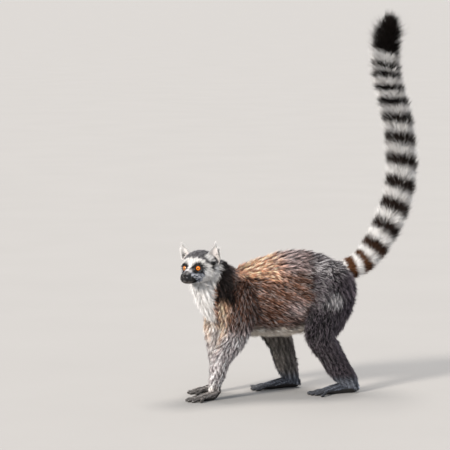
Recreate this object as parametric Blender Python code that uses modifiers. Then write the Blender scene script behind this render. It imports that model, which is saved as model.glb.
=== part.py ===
# Ring-tailed lemur, an adult standing on all fours with its tail raised, at life size, as one still
# model in separate named parts. The nose points to -X, the animal's right side to +Y, and up is +Z.
# The outer surface is the surface of the coat, so the parts give the true outline of the furred
# animal. The tail and the ears carry their long hair as tapered locks.
import math

import bmesh
import bpy
import numpy as np
from mathutils import Matrix, Vector

# Driving dimensions, in metres. A place is (x, y, z), with y given for the animal's left (near) side.
GAP = 0.0003                     # between neighbouring parts
SEED = 7
TRUNK_FACES = 1700               # triangles of the whole skin before it is parted
HEAD_FACES = 1000

# Torso, in rows from chest to rump: place along X, half width, height of the back, height of the belly.
TORSO_FRONT, TORSO_REAR = -0.160, 0.152
TORSO = (
    (TORSO_FRONT, 0.020, 0.218, 0.172),
    (-0.148, 0.036, 0.246, 0.152),
    (-0.122, 0.047, 0.266, 0.135),
    (-0.085, 0.053, 0.276, 0.125),
    (-0.045, 0.056, 0.289, 0.121),
    (0.000, 0.059, 0.301, 0.120),
    (0.045, 0.061, 0.305, 0.128),
    (0.083, 0.062, 0.298, 0.142),
    (0.114, 0.058, 0.284, 0.160),
    (0.137, 0.046, 0.265, 0.180),
    (TORSO_REAR, 0.022, 0.240, 0.208),
)

# Head. Its own frame has x forward, y to the animal's left and z up, about the middle of the skull.
HEAD_PLACE = (-0.186, -0.020, 0.276)
HEAD_YAW = math.radians(40)      # turned to the animal's left, towards the viewer
HEAD_ROLL = math.radians(4)
NOSE_TIP = 0.0685                # forward of the middle of the skull
# Rows from the nape to the nose: forward place, half width, height of the crown side, of the chin side.
HEAD = (
    (-0.040, 0.022, 0.014, -0.024),
    (-0.030, 0.031, 0.0275, -0.030),
    (-0.018, 0.0370, 0.0348, -0.0335),
    (-0.004, 0.0390, 0.0374, -0.0345),
    (0.008, 0.0380, 0.0370, -0.0340),
    (0.018, 0.0345, 0.0330, -0.0328),
    (0.026, 0.0285, 0.0256, -0.0315),
    (0.033, 0.0210, 0.0160, -0.0300),
    (0.040, 0.0160, 0.0070, -0.0292),
    (0.049, 0.0132, 0.0000, -0.0286),
    (0.056, 0.0120, -0.0034, -0.0276),
    (0.062, 0.0100, -0.0052, -0.0252),
    (0.0665, 0.0068, -0.0074, -0.0206),
    (NOSE_TIP, 0.0030, -0.0100, -0.0155),
)
EYE_PLACE = (0.0260, 0.0150, 0.0025)
EYE_RADIUS = 0.0085
EYE_TURN = math.radians(14)      # each eye looks this far outwards
EYE_OPENING = (0.0065, 0.0058)   # half width and half height between the lids
PATCH_RADII = (0.0150, 0.0135, 0.0130)
MUZZLE_START = 0.0385
CROWN_EDGE = (0.0150, 0.0, 0.0330)
NOSE_PLACE, NOSE_RADII = (0.0640, 0.0, -0.0098), (0.0054, 0.0064, 0.0052)
NOSTRIL_PLACE = (0.0672, 0.0038, -0.0106)
MOUTH_HEIGHT = -0.0205
EAR_PLACE = (-0.008, 0.0310, 0.0130)
EAR_LEAN = (0.34, 0.29, 0.84)    # along the ear, in the head's frame
EAR_LENGTH, EAR_WIDTH, EAR_WALL = 0.032, 0.031, 0.0016

# Neck, from inside the chest to the back of the skull: place, half width, half depth.
NECK = (
    ((-0.100, 0.000, 0.215), 0.046, 0.046),
    ((-0.128, -0.002, 0.234), 0.044, 0.045),
    ((-0.150, -0.007, 0.256), 0.039, 0.039),
    ((-0.168, -0.012, 0.270), 0.034, 0.034),
)
# The long white hair of the throat and bib, from under the chin to between the arms.
THROAT = (
    ((-0.190, -0.024, 0.256), 0.022, 0.018),
    ((-0.187, -0.022, 0.241), 0.026, 0.022),
    ((-0.174, -0.014, 0.222), 0.029, 0.025),
    ((-0.161, -0.008, 0.203), 0.030, 0.026),
    ((-0.148, -0.002, 0.172), 0.026, 0.020),
)

# Limbs, from the body down: place, half width across the body, half depth fore and aft.
LEFT_ARM = (
    ((-0.098, -0.032, 0.238), 0.024, 0.030),
    ((-0.108, -0.040, 0.208), 0.029, 0.041),
    ((-0.1135, -0.049, 0.168), 0.026, 0.038),
    ((-0.124, -0.055, 0.132), 0.0225, 0.0325),
    ((-0.148, -0.053, 0.090), 0.019, 0.024),
    ((-0.156, -0.0485, 0.055), 0.0155, 0.019),
    ((-0.1615, -0.046, 0.034), 0.0135, 0.015),
)
RIGHT_ARM = (
    ((-0.098, 0.032, 0.238), 0.024, 0.030),
    ((-0.106, 0.040, 0.208), 0.029, 0.041),
    ((-0.1175, 0.049, 0.168), 0.026, 0.038),
    ((-0.1255, 0.055, 0.130), 0.022, 0.029),
    ((-0.1265, 0.051, 0.088), 0.0185, 0.0225),
    ((-0.1275, 0.046, 0.052), 0.015, 0.0175),
    ((-0.131, 0.043, 0.034), 0.013, 0.014),
)
LEFT_LEG = (
    ((0.100, -0.028, 0.252), 0.028, 0.042),
    ((0.103, -0.038, 0.222), 0.034, 0.053),
    ((0.088, -0.052, 0.175), 0.031, 0.048),
    ((0.067, -0.062, 0.130), 0.026, 0.0365),
    ((0.086, -0.060, 0.094), 0.0225, 0.0305),
    ((0.110, -0.055, 0.056), 0.0195, 0.0275),
    ((0.1355, -0.051, 0.026), 0.0145, 0.021),
)
RIGHT_LEG = (
    ((0.096, 0.028, 0.252), 0.028, 0.042),
    ((0.092, 0.038, 0.222), 0.034, 0.055),
    ((0.050, 0.054, 0.180), 0.031, 0.048),
    ((0.008, 0.064, 0.136), 0.026, 0.037),
    ((0.022, 0.061, 0.094), 0.0225, 0.030),
    ((0.030, 0.054, 0.056), 0.0195, 0.0265),
    ((0.0385, 0.048, 0.026), 0.0145, 0.0205),
)
ELBOW_ROW, KNEE_ROW, WRIST_ROW = 3, 3, 6
ANKLE_HEIGHT = 0.040

# Hands and feet. Lengths along the sole; digits as (sideways start, splay in degrees, length).
HAND_HEADING = math.radians(186)
FOOT_HEADING = math.radians(184)
HAND_DIGITS = ((0.0085, 48, 0.020), (0.0075, 14, 0.029), (0.0025, 4, 0.034),
               (-0.0030, -7, 0.034), (-0.0080, -22, 0.027))
FOOT_DIGITS = ((0.0090, 42, 0.032), (0.0070, 9, 0.030), (0.0020, 2, 0.036),
               (-0.0035, -6, 0.038), (-0.0085, -16, 0.034))
DIGIT_RADIUS = 0.0034
# Palm and sole, in rows from the heel forwards: forward place, height, half width, half thickness.
HAND_ROWS = ((-0.002, 0.020, 0.0115, 0.0125), (0.006, 0.0105, 0.0120, 0.0110),
             (0.018, 0.0078, 0.0128, 0.0082), (0.030, 0.0062, 0.0125, 0.0066),
             (0.036, 0.0058, 0.0100, 0.0045))
FOOT_ROWS = ((-0.020, 0.0100, 0.0070, 0.0070), (-0.013, 0.0105, 0.0105, 0.0110),
             (0.002, 0.0125, 0.0118, 0.0130), (0.026, 0.0105, 0.0112, 0.0110),
             (0.048, 0.0078, 0.0130, 0.0082), (0.060, 0.0062, 0.0115, 0.0064))
HAND_KNUCKLE, FOOT_KNUCKLE = 0.032, 0.056     # how far forward the digits start

# Tail: the points that its middle line follows, in X and Z, from the rump to the last joint.
TAIL_LINE = ((0.136, 0.256), (0.1658, 0.2637), (0.1912, 0.2788), (0.2165, 0.3098), (0.2440, 0.3560),
             (0.2640, 0.4080), (0.2731, 0.4636), (0.2720, 0.5180), (0.2640, 0.5750), (0.2510, 0.6260),
             (0.2380, 0.6742), (0.2345, 0.7136), (0.2370, 0.7529), (0.2440, 0.7760))
# Rings as they show on the outside of the hair: how long one is at these lengths along the tail.
RING_AT = (0.030, 0.100, 0.270, 0.410, 0.460)
RING_LENGTH = (0.0158, 0.0246, 0.0252, 0.0222, 0.0120)
RINGS = 25                       # white and dark by turns, from the first white one to the black tip
HAIR_LAY = 0.016                 # how much nearer the rump a ring's hair is rooted than it shows
TAIL_CORE = 0.0145               # radius of the dense under coat over the tail's flesh
TAIL_TIP_CORE = 0.0100
# Radius of the tail out to the tips of its hair, at shares of its length.
TAIL_RADII = (0.0190, 0.0270, 0.0330, 0.0342, 0.0345, 0.0345, 0.0340, 0.0350, 0.0355)
LOCK_RISE = (math.radians(50), math.radians(27))   # lift off the tail at a lock's root and at its tip
LOCK_ROW = 0.0140                # spacing of the rows of locks along the tail
LOCKS_ROUND = 5                  # locks in one row

COAT = {
    "rufous_coat": (0.30, 0.18, 0.12),
    "grey_coat": (0.24, 0.215, 0.20),
    "nape_coat": (0.10, 0.08, 0.075),
    "white_coat": (0.82, 0.80, 0.76),
    "cream_coat": (0.66, 0.58, 0.46),
    "black_coat": (0.030, 0.026, 0.025),
    "leather_skin": (0.045, 0.042, 0.045),
    "amber_eye": (0.75, 0.26, 0.03),
}


def smooth_rows(rows, count):
    """Rows of numbers resampled along a Catmull-Rom spline through them."""
    rows = np.asarray(rows, float)
    last = len(rows) - 1
    place = np.linspace(0, last, count)
    index = np.clip(place.astype(int), 0, last - 1)
    f = (place - index)[:, None]
    padded = np.vstack([2 * rows[0] - rows[1], rows, 2 * rows[-1] - rows[-2]])
    a, b, c, d = (padded[index + k] for k in range(4))
    cubic = (-a + 3 * b - 3 * c + d) * f**3 + (2 * a - 5 * b + 4 * c - d) * f**2
    return 0.5 * (cubic + (c - a) * f + 2 * b)


def unit(rows):
    """Each row scaled to length one."""
    rows = np.asarray(rows, float)
    return rows / np.linalg.norm(rows, axis=-1, keepdims=True)


def mesh_object(name, bm):
    """A new object with the bmesh's faces, all pointing out."""
    bm.normal_update()
    bmesh.ops.recalc_face_normals(bm, faces=bm.faces)
    if bm.calc_volume(signed=True) < 0:
        bmesh.ops.reverse_faces(bm, faces=bm.faces)
    mesh = bpy.data.meshes.new(name)
    bm.to_mesh(mesh)
    bm.free()
    made = bpy.data.objects.new(name, mesh)
    bpy.context.scene.collection.objects.link(made)
    return made


def loft(name, rings, tip=None):
    """A closed surface through rings of points, ended by flat caps, or by one point at the far end."""
    bm = bmesh.new()
    loops = [[bm.verts.new(p) for p in ring] for ring in rings]
    sides = len(loops[0])
    for low, high in zip(loops, loops[1:]):
        for k in range(sides):
            n = (k + 1) % sides
            bm.faces.new((low[k], low[n], high[n], high[k]))
    bm.faces.new(loops[0][::-1])
    if tip is None:
        bm.faces.new(loops[-1])
    else:
        end = bm.verts.new(tip)
        for k in range(sides):
            bm.faces.new((loops[-1][k], loops[-1][(k + 1) % sides], end))
    return mesh_object(name, bm)


def egg_rings(centres, sides, ups, widths, tops, bottoms, count):
    """Rings of egg-shaped sections: half width to each side, and a height up and a depth down."""
    angle = np.arange(count) * 2 * math.pi / count
    across = np.cos(angle)[None, :, None]
    rise = np.sin(angle)[None, :]
    height = np.where(rise > 0, tops[:, None] * rise, bottoms[:, None] * rise)[..., None]
    return (centres[:, None] + sides[:, None] * widths[:, None, None] * across
            + ups[:, None] * height)


def limb_rings(rows, rings, count):
    """Elliptical rings along a limb's bent line, each square to the line."""
    flat = smooth_rows([[*place, wide, deep] for place, wide, deep in rows], rings)
    centres = flat[:, :3]
    along = unit(np.gradient(centres, axis=0))
    side = np.array([0.0, 1.0, 0.0])
    sides = unit(side - along * (along @ side)[:, None])
    ups = np.cross(along, sides)
    return egg_rings(centres, sides, ups, flat[:, 3], flat[:, 4], flat[:, 4], count)


def carried_on(rows, share):
    """A limb's rows with one more, a share of the last step further on."""
    end = Vector(rows[-1][0]).lerp(Vector(rows[-2][0]), -share)
    return [*rows, (tuple(end), *rows[-1][1:])]


def limb_region(rows):
    """Rows round a limb that hold all of it outside the body, from the shoulder or hip down."""
    return [((x, y * (1.10 if k < 2 else 1.0), z), wide * 1.08 + 0.004, deep * 1.06 + 0.005)
            for k, ((x, y, z), wide, deep) in enumerate(carried_on(rows, 0.8)[1:])]


def torso_rings(rings, count):
    """Rings of the torso, from the outlines of its back and belly."""
    x, wide, top, bottom = smooth_rows(TORSO, rings).T
    middle = bottom + 0.46 * (top - bottom)
    centres = np.stack([x, np.zeros(rings), middle], 1)
    sides = np.tile([0.0, 1.0, 0.0], (rings, 1))
    ups = np.tile([0.0, 0.0, 1.0], (rings, 1))
    return egg_rings(centres, sides, ups, wide, top - middle, middle - bottom, count)


def head_matrix():
    """The head's frame: its place, its turn to the left and its slight roll."""
    turn = Matrix.Rotation(math.pi + HEAD_YAW, 4, "Z") @ Matrix.Rotation(HEAD_ROLL, 4, "X")
    return Matrix.Translation(HEAD_PLACE) @ turn


def head_rings(rings, count):
    """Rings of the head and muzzle in the head's own frame."""
    x, wide, top, bottom = smooth_rows(HEAD, rings).T
    middle = bottom + 0.48 * (top - bottom)
    centres = np.stack([x, np.zeros(rings), middle], 1)
    sides = np.tile([0.0, 1.0, 0.0], (rings, 1))
    ups = np.tile([0.0, 0.0, 1.0], (rings, 1))
    return egg_rings(centres, sides, ups, wide, top - middle, middle - bottom, count)


def ball(name, place, radii, matrix=Matrix(), turn=0.0, segments=20, rows=12):
    """An ellipsoid at a place in the matrix's frame, turned about that frame's z axis."""
    bm = bmesh.new()
    bmesh.ops.create_uvsphere(bm, u_segments=segments, v_segments=rows, radius=1.0)
    shape = Matrix.Translation(place) @ Matrix.Rotation(turn, 4, "Z") @ Matrix.Diagonal((*radii, 1))
    bm.transform(matrix @ shape)
    return mesh_object(name, bm)


def block(name, place, along, size):
    """A box whose first face lies on a place and which reaches size along a direction."""
    bm = bmesh.new()
    bmesh.ops.create_cube(bm, size=1.0)
    turn = Vector(along).to_track_quat("Z", "Y").to_matrix().to_4x4()
    shape = Matrix.Diagonal((size[0], size[1], size[2], 1))
    bm.transform(Matrix.Translation(place) @ turn @ shape @ Matrix.Translation((0, 0, 0.5)))
    return mesh_object(name, bm)


def apply_modifiers(made):
    """Replaces an object's mesh by what its modifiers make of it."""
    graph = bpy.context.evaluated_depsgraph_get()
    mesh = bpy.data.meshes.new_from_object(made.evaluated_get(graph))
    made.modifiers.clear()
    made.data = mesh
    return made


def remove(*objects):
    for one in objects:
        bpy.data.objects.remove(one)


def union(name, pieces, solver="MANIFOLD"):
    """The first piece with all the others fused to it, as one closed body."""
    base, others = pieces[0], pieces[1:]
    group = bpy.data.collections.new("to fuse")
    bpy.context.scene.collection.children.link(group)
    for one in others:
        group.objects.link(one)
    fuse = base.modifiers.new("fuse", "BOOLEAN")
    fuse.operation = "UNION"
    fuse.solver = solver
    fuse.operand_type = "COLLECTION"
    fuse.collection = group
    apply_modifiers(base)
    remove(*others)
    bpy.data.collections.remove(group)
    base.name = name
    return base


def cut(made, cutter, operation="DIFFERENCE", solver="MANIFOLD"):
    """Cuts one object by another, which stays."""
    step = made.modifiers.new("cut", "BOOLEAN")
    step.operation = operation
    step.solver = solver
    step.object = cutter
    return apply_modifiers(made)


def copy_of(made, name):
    twin = made.copy()
    twin.data = made.data.copy()
    twin.name = name
    bpy.context.scene.collection.objects.link(twin)
    return twin


def part_off(whole, name, region, region_grown):
    """Splits off what lies in a region as a new named part, and leaves a thin gap round it."""
    piece = cut(copy_of(whole, name), region, "INTERSECT")
    cut(whole, region_grown)
    remove(region, region_grown)
    return piece


def part_by_plane(whole, name, place, along, reach=0.5):
    """Splits off what lies beyond a plane, leaving the gap between the two parts."""
    along = Vector(along).normalized()
    size = (reach, reach, reach)
    far = block("far side", Vector(place) + along * GAP / 2, along, size)
    grown = block("far side and gap", Vector(place) - along * GAP / 2, along, size)
    return part_off(whole, name, far, grown)


def with_triangles(made):
    """Splits a mesh into triangles, so that copies of it bend alike."""
    made.modifiers.new("split", "TRIANGULATE")
    return made


def swell(made, amount):
    """A copy with every vertex moved outwards by an amount."""
    bm = bmesh.new()
    bm.from_mesh(made.data)
    bm.normal_update()
    for vertex in bm.verts:
        vertex.co += vertex.normal * amount
    return mesh_object("swollen", bm)


def keep_largest(made):
    """Keeps only the largest closed surface of a mesh."""
    bm = bmesh.new()
    bm.from_mesh(made.data)
    bmesh.ops.remove_doubles(bm, verts=bm.verts, dist=1e-6)
    todo = set(bm.faces)
    bodies = []
    while todo:
        front = [todo.pop()]
        body = list(front)
        while front:
            face = front.pop()
            for edge in face.edges:
                for near in edge.link_faces:
                    if near in todo:
                        todo.discard(near)
                        front.append(near)
                        body.append(near)
        bodies.append(body)
    bodies.sort(key=len)
    loose = [face for body in bodies[:-1] for face in body]
    bmesh.ops.delete(bm, geom=loose, context="FACES")
    bmesh.ops.delete(bm, geom=[v for v in bm.verts if not v.link_faces], context="VERTS")
    bm.to_mesh(made.data)
    bm.free()
    return made


def soften(made, voxel, passes, faces):
    """Fuses a mesh into one even skin, rounds off its joins and thins it to a number of triangles."""
    skin = made.modifiers.new("skin", "REMESH")
    skin.mode = "VOXEL"
    skin.voxel_size = voxel
    smooth = made.modifiers.new("round", "SMOOTH")
    smooth.factor = 0.5
    smooth.iterations = passes
    apply_modifiers(made)
    thin = made.modifiers.new("thin", "DECIMATE")
    thin.ratio = faces / (2 * len(made.data.polygons))
    thin.use_collapse_triangulate = True
    return apply_modifiers(made)


def material(name):
    made = bpy.data.materials.get(name)
    if made is None:
        made = bpy.data.materials.new(name)
        made.use_nodes = True
        shader = made.node_tree.nodes["Principled BSDF"]
        shader.inputs["Base Color"].default_value = (*COAT[name], 1.0)
        shader.inputs["Roughness"].default_value = 0.15 if name == "amber_eye" else 0.85
    return made


def finish(made, coat, group):
    """Gives a part its material and puts it in the animal's collection."""
    made.data.materials.clear()
    made.data.materials.append(material(coat))
    made.data.polygons.foreach_set("material_index", [0] * len(made.data.polygons))
    for owner in list(made.users_collection):
        owner.objects.unlink(made)
    group.objects.link(made)
    return made


# Lock of hair.

def lock(root, along, outward, length, width, thick, rise=LOCK_RISE):
    """A flat tapered lock that leaves its root steeply and bends over to lie along the coat."""
    along, outward = unit(along), unit(outward)
    across = np.cross(along, outward)
    shares = np.array([0.0, 0.52, 1.0])
    angles = rise[0] + (rise[1] - rise[0]) * shares
    steps = np.diff(shares) * length
    middle = 0.5 * (angles[1:] + angles[:-1])
    run = np.concatenate([[0.0], np.cumsum(steps * np.cos(middle))])
    lift = np.concatenate([[0.0], np.cumsum(steps * np.sin(middle))])
    line = root + run[:, None] * along + lift[:, None] * outward
    half = 0.5 * width * np.array([0.42, 1.0])
    tilt = np.cos(angles[:2])[:, None] * outward - np.sin(angles[:2])[:, None] * along
    left = line[:2] - across * half[:, None]
    right = line[:2] + across * half[:, None]
    rings = np.stack([left, right, line[:2] + tilt * thick], 1)
    return loft("lock", rings, tip=line[2])


# Tail.

def tail_line():
    """Points close together along the tail's middle line, with the length up to each."""
    points = smooth_rows([(x, 0.0, z) for x, z in TAIL_LINE], 400)
    steps = np.linalg.norm(np.diff(points, axis=0), axis=1)
    return points, np.concatenate([[0.0], np.cumsum(steps)])


def tail_frame(along):
    """Place, direction and the two cross directions of the tail at lengths along it."""
    points, lengths = tail_line()
    along = np.atleast_1d(along)
    place = np.stack([np.interp(along, lengths, points[:, k]) for k in range(3)], 1)
    slope = np.gradient(points, lengths, axis=0)
    direction = unit(np.stack([np.interp(along, lengths, slope[:, k]) for k in range(3)], 1))
    side = np.tile([0.0, 1.0, 0.0], (len(along), 1))
    return place, direction, side, np.cross(direction, side)


def tail_radius(along):
    """Radius out to the tips of the hair."""
    total = tail_line()[1][-1]
    return np.interp(along / total, np.linspace(0, 1, len(TAIL_RADII)), TAIL_RADII)


def ring_edges():
    """Lengths along the tail where one ring's roots end and the next one's begin, white first."""
    shown = [RING_AT[0]]
    while len(shown) <= RINGS:
        shown.append(shown[-1] + float(np.interp(shown[-1], RING_AT, RING_LENGTH)))
    return [edge - HAIR_LAY for edge in shown]


def tail_piece(name, start, end, rng):
    """One ring of the tail: a length of its core with rows of locks."""
    total = tail_line()[1][-1]
    stops = np.linspace(start + GAP / 2, end - GAP / 2, 2 + int((end - start) / 0.04))
    place, direction, side, up = tail_frame(stops)
    thin = np.clip((stops - 0.9 * total) / (0.1 * total), 0, 1)
    radius = (TAIL_CORE + (TAIL_TIP_CORE - TAIL_CORE) * thin) * np.minimum(1, 0.72 + stops / 0.25)
    pieces = [loft(name, egg_rings(place, side, up, radius, radius, radius, 8))]
    rows = min(4, max(1, round((end - start) / LOCK_ROW)))
    pitch = (end - start) / rows
    for row in range(rows):
        at = start + (row + 0.55) * pitch
        place, direction, side, up = (v[0] for v in tail_frame(at))
        core = float(np.interp(at, stops, radius))
        reach = float(tail_radius(at + 0.02)[()]) - 0.55 * core
        mean_rise = 0.5 * (LOCK_RISE[0] + LOCK_RISE[1])
        near_end = min(max((at / total - 0.90) / 0.10, 0.0), 1.0)
        rise = [angle * (1 - 0.45 * near_end) for angle in LOCK_RISE]
        for k in range(LOCKS_ROUND):
            angle = 2 * math.pi * (k + 0.5 * (row % 2) + rng.uniform(-0.08, 0.08)) / LOCKS_ROUND
            outward = side * math.cos(angle) + up * math.sin(angle)
            length = reach / math.sin(mean_rise) * rng.uniform(0.92, 1.08)
            root = place + outward * 0.55 * core - direction * 0.3 * core
            width = 2 * math.pi * 0.60 * reach / LOCKS_ROUND
            pieces.append(lock(root, direction, outward, length, width, 0.0022, rise))
    return keep_largest(union(name, pieces))


# Whole body under the coat, before it is parted.

def trunk():
    """Torso, neck, throat, limbs and root of the tail, fused and rounded."""
    pieces = [loft("trunk", torso_rings(30, 24))]
    pieces.append(loft("neck", limb_rings(NECK, 10, 16)))
    pieces.append(loft("throat", limb_rings(THROAT, 8, 16)))
    for limb in (LEFT_ARM, RIGHT_ARM, LEFT_LEG, RIGHT_LEG):
        pieces.append(loft("limb", limb_rings(carried_on(limb, 0.6), 20, 14)))
    place, direction, side, up = tail_frame(np.linspace(0.0, ring_edges()[0] + 0.012, 5))
    place[0] -= direction[0] * 0.035
    radius = np.linspace(0.026, TAIL_CORE + 0.003, 5)
    pieces.append(loft("tail root", egg_rings(place, side, up, radius, radius, radius, 14)))
    whole = union("trunk", pieces)
    return soften(whole, 0.0045, 6, TRUNK_FACES)


def head():
    """The head with its lids' bulge, mouth line, nose pad and nostrils, in the head's own frame."""
    made = loft("head", head_rings(44, 36))
    pieces = [made]
    for side in (1, -1):
        place = (EYE_PLACE[0], side * EYE_PLACE[1], EYE_PLACE[2])
        pieces.append(ball("lids", place, (EYE_RADIUS + 0.0016,) * 3, segments=24, rows=14))
    pieces.append(ball("nose pad", NOSE_PLACE, NOSE_RADII, segments=14, rows=8))
    made = union("head", pieces)
    thin = made.modifiers.new("thin", "DECIMATE")
    thin.ratio = HEAD_FACES / sum(len(face.vertices) - 2 for face in made.data.polygons)
    thin.use_collapse_triangulate = True
    return apply_modifiers(made)


def mouth_cutter():
    """A thin tube along the line between the lips, on the surface of the muzzle."""
    share = np.linspace(-1, 1, 13)
    forward = 0.0655 - 0.035 * share**2
    x, wide, top, bottom = smooth_rows(HEAD, 120).T
    middle = bottom + 0.48 * (top - bottom)
    height = MOUTH_HEIGHT + 0.0030 * share**2
    level = np.interp(forward, x, middle)
    drop = np.clip((level - height) / np.interp(forward, x, middle - bottom), 0, 0.98)
    across = np.interp(forward, x, wide) * np.sqrt(1 - drop**2) * np.sign(share)
    across *= np.minimum(1, np.abs(share) * 4)
    line = np.stack([forward, across, height], 1)
    along = unit(np.gradient(line, axis=0))
    up = np.tile([0.0, 0.0, 1.0], (len(line), 1))
    side = unit(np.cross(up, along))
    radius = np.full(len(line), 0.0009)
    return loft("mouth", egg_rings(line, side, np.cross(along, side), radius, radius, radius, 4))


def ear(name, side, rng):
    """A thin curled cup that narrows to its tip, with long white locks from its rim and inside."""
    rows, columns = 6, 5
    lean = unit(np.array([EAR_LEAN[0], side * EAR_LEAN[1], EAR_LEAN[2]]))
    facing = unit(np.cross(np.cross(lean, [1.0, side * 0.28, 0.0]), lean))
    across = np.cross(lean, facing)
    rise = np.linspace(-0.10, 1.0, rows)
    half = 0.5 * EAR_WIDTH * np.sqrt(np.clip(1 - np.clip(rise, 0, 1) ** 2.2, 0.012, 1))
    half *= 1 - 0.25 * np.clip(0.25 - rise, 0, 1) / 0.35
    curl = np.radians(np.linspace(105, 38, rows))
    turn = np.linspace(-1, 1, columns)
    angle = turn[None, :] * curl[:, None]
    radius = half / np.sin(np.minimum(curl, math.pi / 2))
    base = np.array([EAR_PLACE[0], side * EAR_PLACE[1], EAR_PLACE[2]])
    depth = radius[:, None] * (1 - np.cos(angle))
    place = (base + rise[:, None, None] * EAR_LENGTH * lean
             + (radius[:, None] * np.sin(angle))[..., None] * across
             + (depth - 0.008)[..., None] * facing)
    bm = bmesh.new()
    grid = [[bm.verts.new(p) for p in row] for row in place]
    for low, high in zip(grid, grid[1:]):
        for k in range(columns - 1):
            bm.faces.new((low[k], low[k + 1], high[k + 1], high[k]))
    cup = mesh_object(name, bm)
    wall = cup.modifiers.new("wall", "SOLIDIFY")
    wall.thickness = EAR_WALL
    wall.offset = 0.0
    apply_modifiers(cup)
    pieces = [cup]
    for row in range(2, rows - 1):
        for column in (0, columns - 1):
            edge = place[row, column]
            inner = place[row, 1 if column == 0 else columns - 2]
            away = unit(edge - inner)
            size = rng.uniform(0.85, 1.1) * (0.012 + 0.006 * rise[row])
            root = inner - away * 0.0006
            pieces.append(lock(root, lean, away, size + 0.003, 0.0052, 0.0016,
                               (math.radians(40), math.radians(12))))
    root = place[rows - 3, 2] - lean * 0.001
    pieces.append(lock(root, lean, facing, 0.021 * rng.uniform(0.9, 1.1), 0.0055, 0.0016,
                       (math.radians(14), math.radians(2))))
    return keep_largest(union(name, pieces))


# Hands and feet.

def paw(name, wrist, heading, inner, stations, digits, knuckle, stub):
    """A sole on the floor with five digits, joined to a stub of the limb above."""
    ahead = np.array([math.cos(heading), math.sin(heading), 0.0])
    sideways = np.array([-ahead[1], ahead[0], 0.0]) * inner
    up = np.array([0.0, 0.0, 1.0])
    start = np.array([wrist[0], wrist[1], 0.0])

    def place(forward, across, height):
        return start + ahead * forward + sideways * across + up * height

    rows = smooth_rows(stations, 7)
    line = np.array([place(f, 0.0, z) for f, z in rows[:, :2]])
    along = unit(np.gradient(line, axis=0))
    side = np.tile(sideways, (len(line), 1))
    ups = np.cross(along, side)
    pieces = [loft(name, egg_rings(line, side, ups, rows[:, 2], rows[:, 3], rows[:, 3], 8)), stub]
    for across, splay, length in digits:
        turn = math.radians(splay)
        way = ahead * math.cos(turn) + sideways * math.sin(turn)
        share = np.array([0.0, 0.45, 0.85, 1.0])
        arch = np.array([0.0072, 0.0058, 0.0028, 0.0026])
        thick = DIGIT_RADIUS * np.array([1.15, 0.98, 1.0, 0.45])
        root = place(knuckle - 0.004, across, 0.0)
        middle = root + (length + 0.004) * share[:, None] * way + arch[:, None] * up
        cross = np.tile(np.cross(up, way), (4, 1))
        lift = np.tile(up, (4, 1))
        flat = np.array([1.0, 0.92, 0.95, 0.8])
        pieces.append(loft("digit", egg_rings(middle, cross, lift, thick, thick * flat, thick * flat, 6)))
    made = union(name, pieces)
    floor = block("floor", (wrist[0], wrist[1], 0.0), (0, 0, -1), (0.4, 0.4, 0.1))
    cut(made, floor)
    remove(floor)
    return keep_largest(made)


def into_sole(rows):
    """A last row that carries a limb on down into its sole."""
    (x, y, z), wide, deep = rows[-1]
    high = rows[-2][0]
    share = (z - 0.011) / (high[2] - z)
    return (x + 0.4 * share * (x - high[0]), y, 0.011), wide * 0.85, deep * 0.85


def hand(name, arm, inner):
    wrist = np.array(arm[WRIST_ROW][0])
    stub = loft("stub", limb_rings([*arm[-2:], into_sole(arm)], 5, 8))
    return paw(name, wrist, HAND_HEADING, inner, HAND_ROWS, HAND_DIGITS, HAND_KNUCKLE, stub)


def foot(name, leg, inner):
    ankle = np.array(leg[-1][0])
    stub = loft("stub", limb_rings([*leg[-2:], into_sole(leg)], 5, 8))
    return paw(name, ankle, FOOT_HEADING, inner, FOOT_ROWS, FOOT_DIGITS, FOOT_KNUCKLE, stub)


def clear_scene():
    for one in list(bpy.data.objects):
        bpy.data.objects.remove(one)


def direction_at(rows, index):
    """The way a limb runs at one of its rows."""
    low, high = rows[max(index - 1, 0)][0], rows[min(index + 1, len(rows) - 1)][0]
    return Vector(high) - Vector(low)


def centre_on_floor(bodies):
    """Moves all parts as one, so that the middle of their length and width is at the origin."""
    corners = np.array([one.matrix_world @ Vector(corner) for one in bodies for corner in one.bound_box])
    low, high = corners.min(axis=0), corners.max(axis=0)
    step = Matrix.Translation((-(low[0] + high[0]) / 2, -(low[1] + high[1]) / 2, -low[2]))
    for one in bodies:
        one.data.transform(step)


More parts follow.
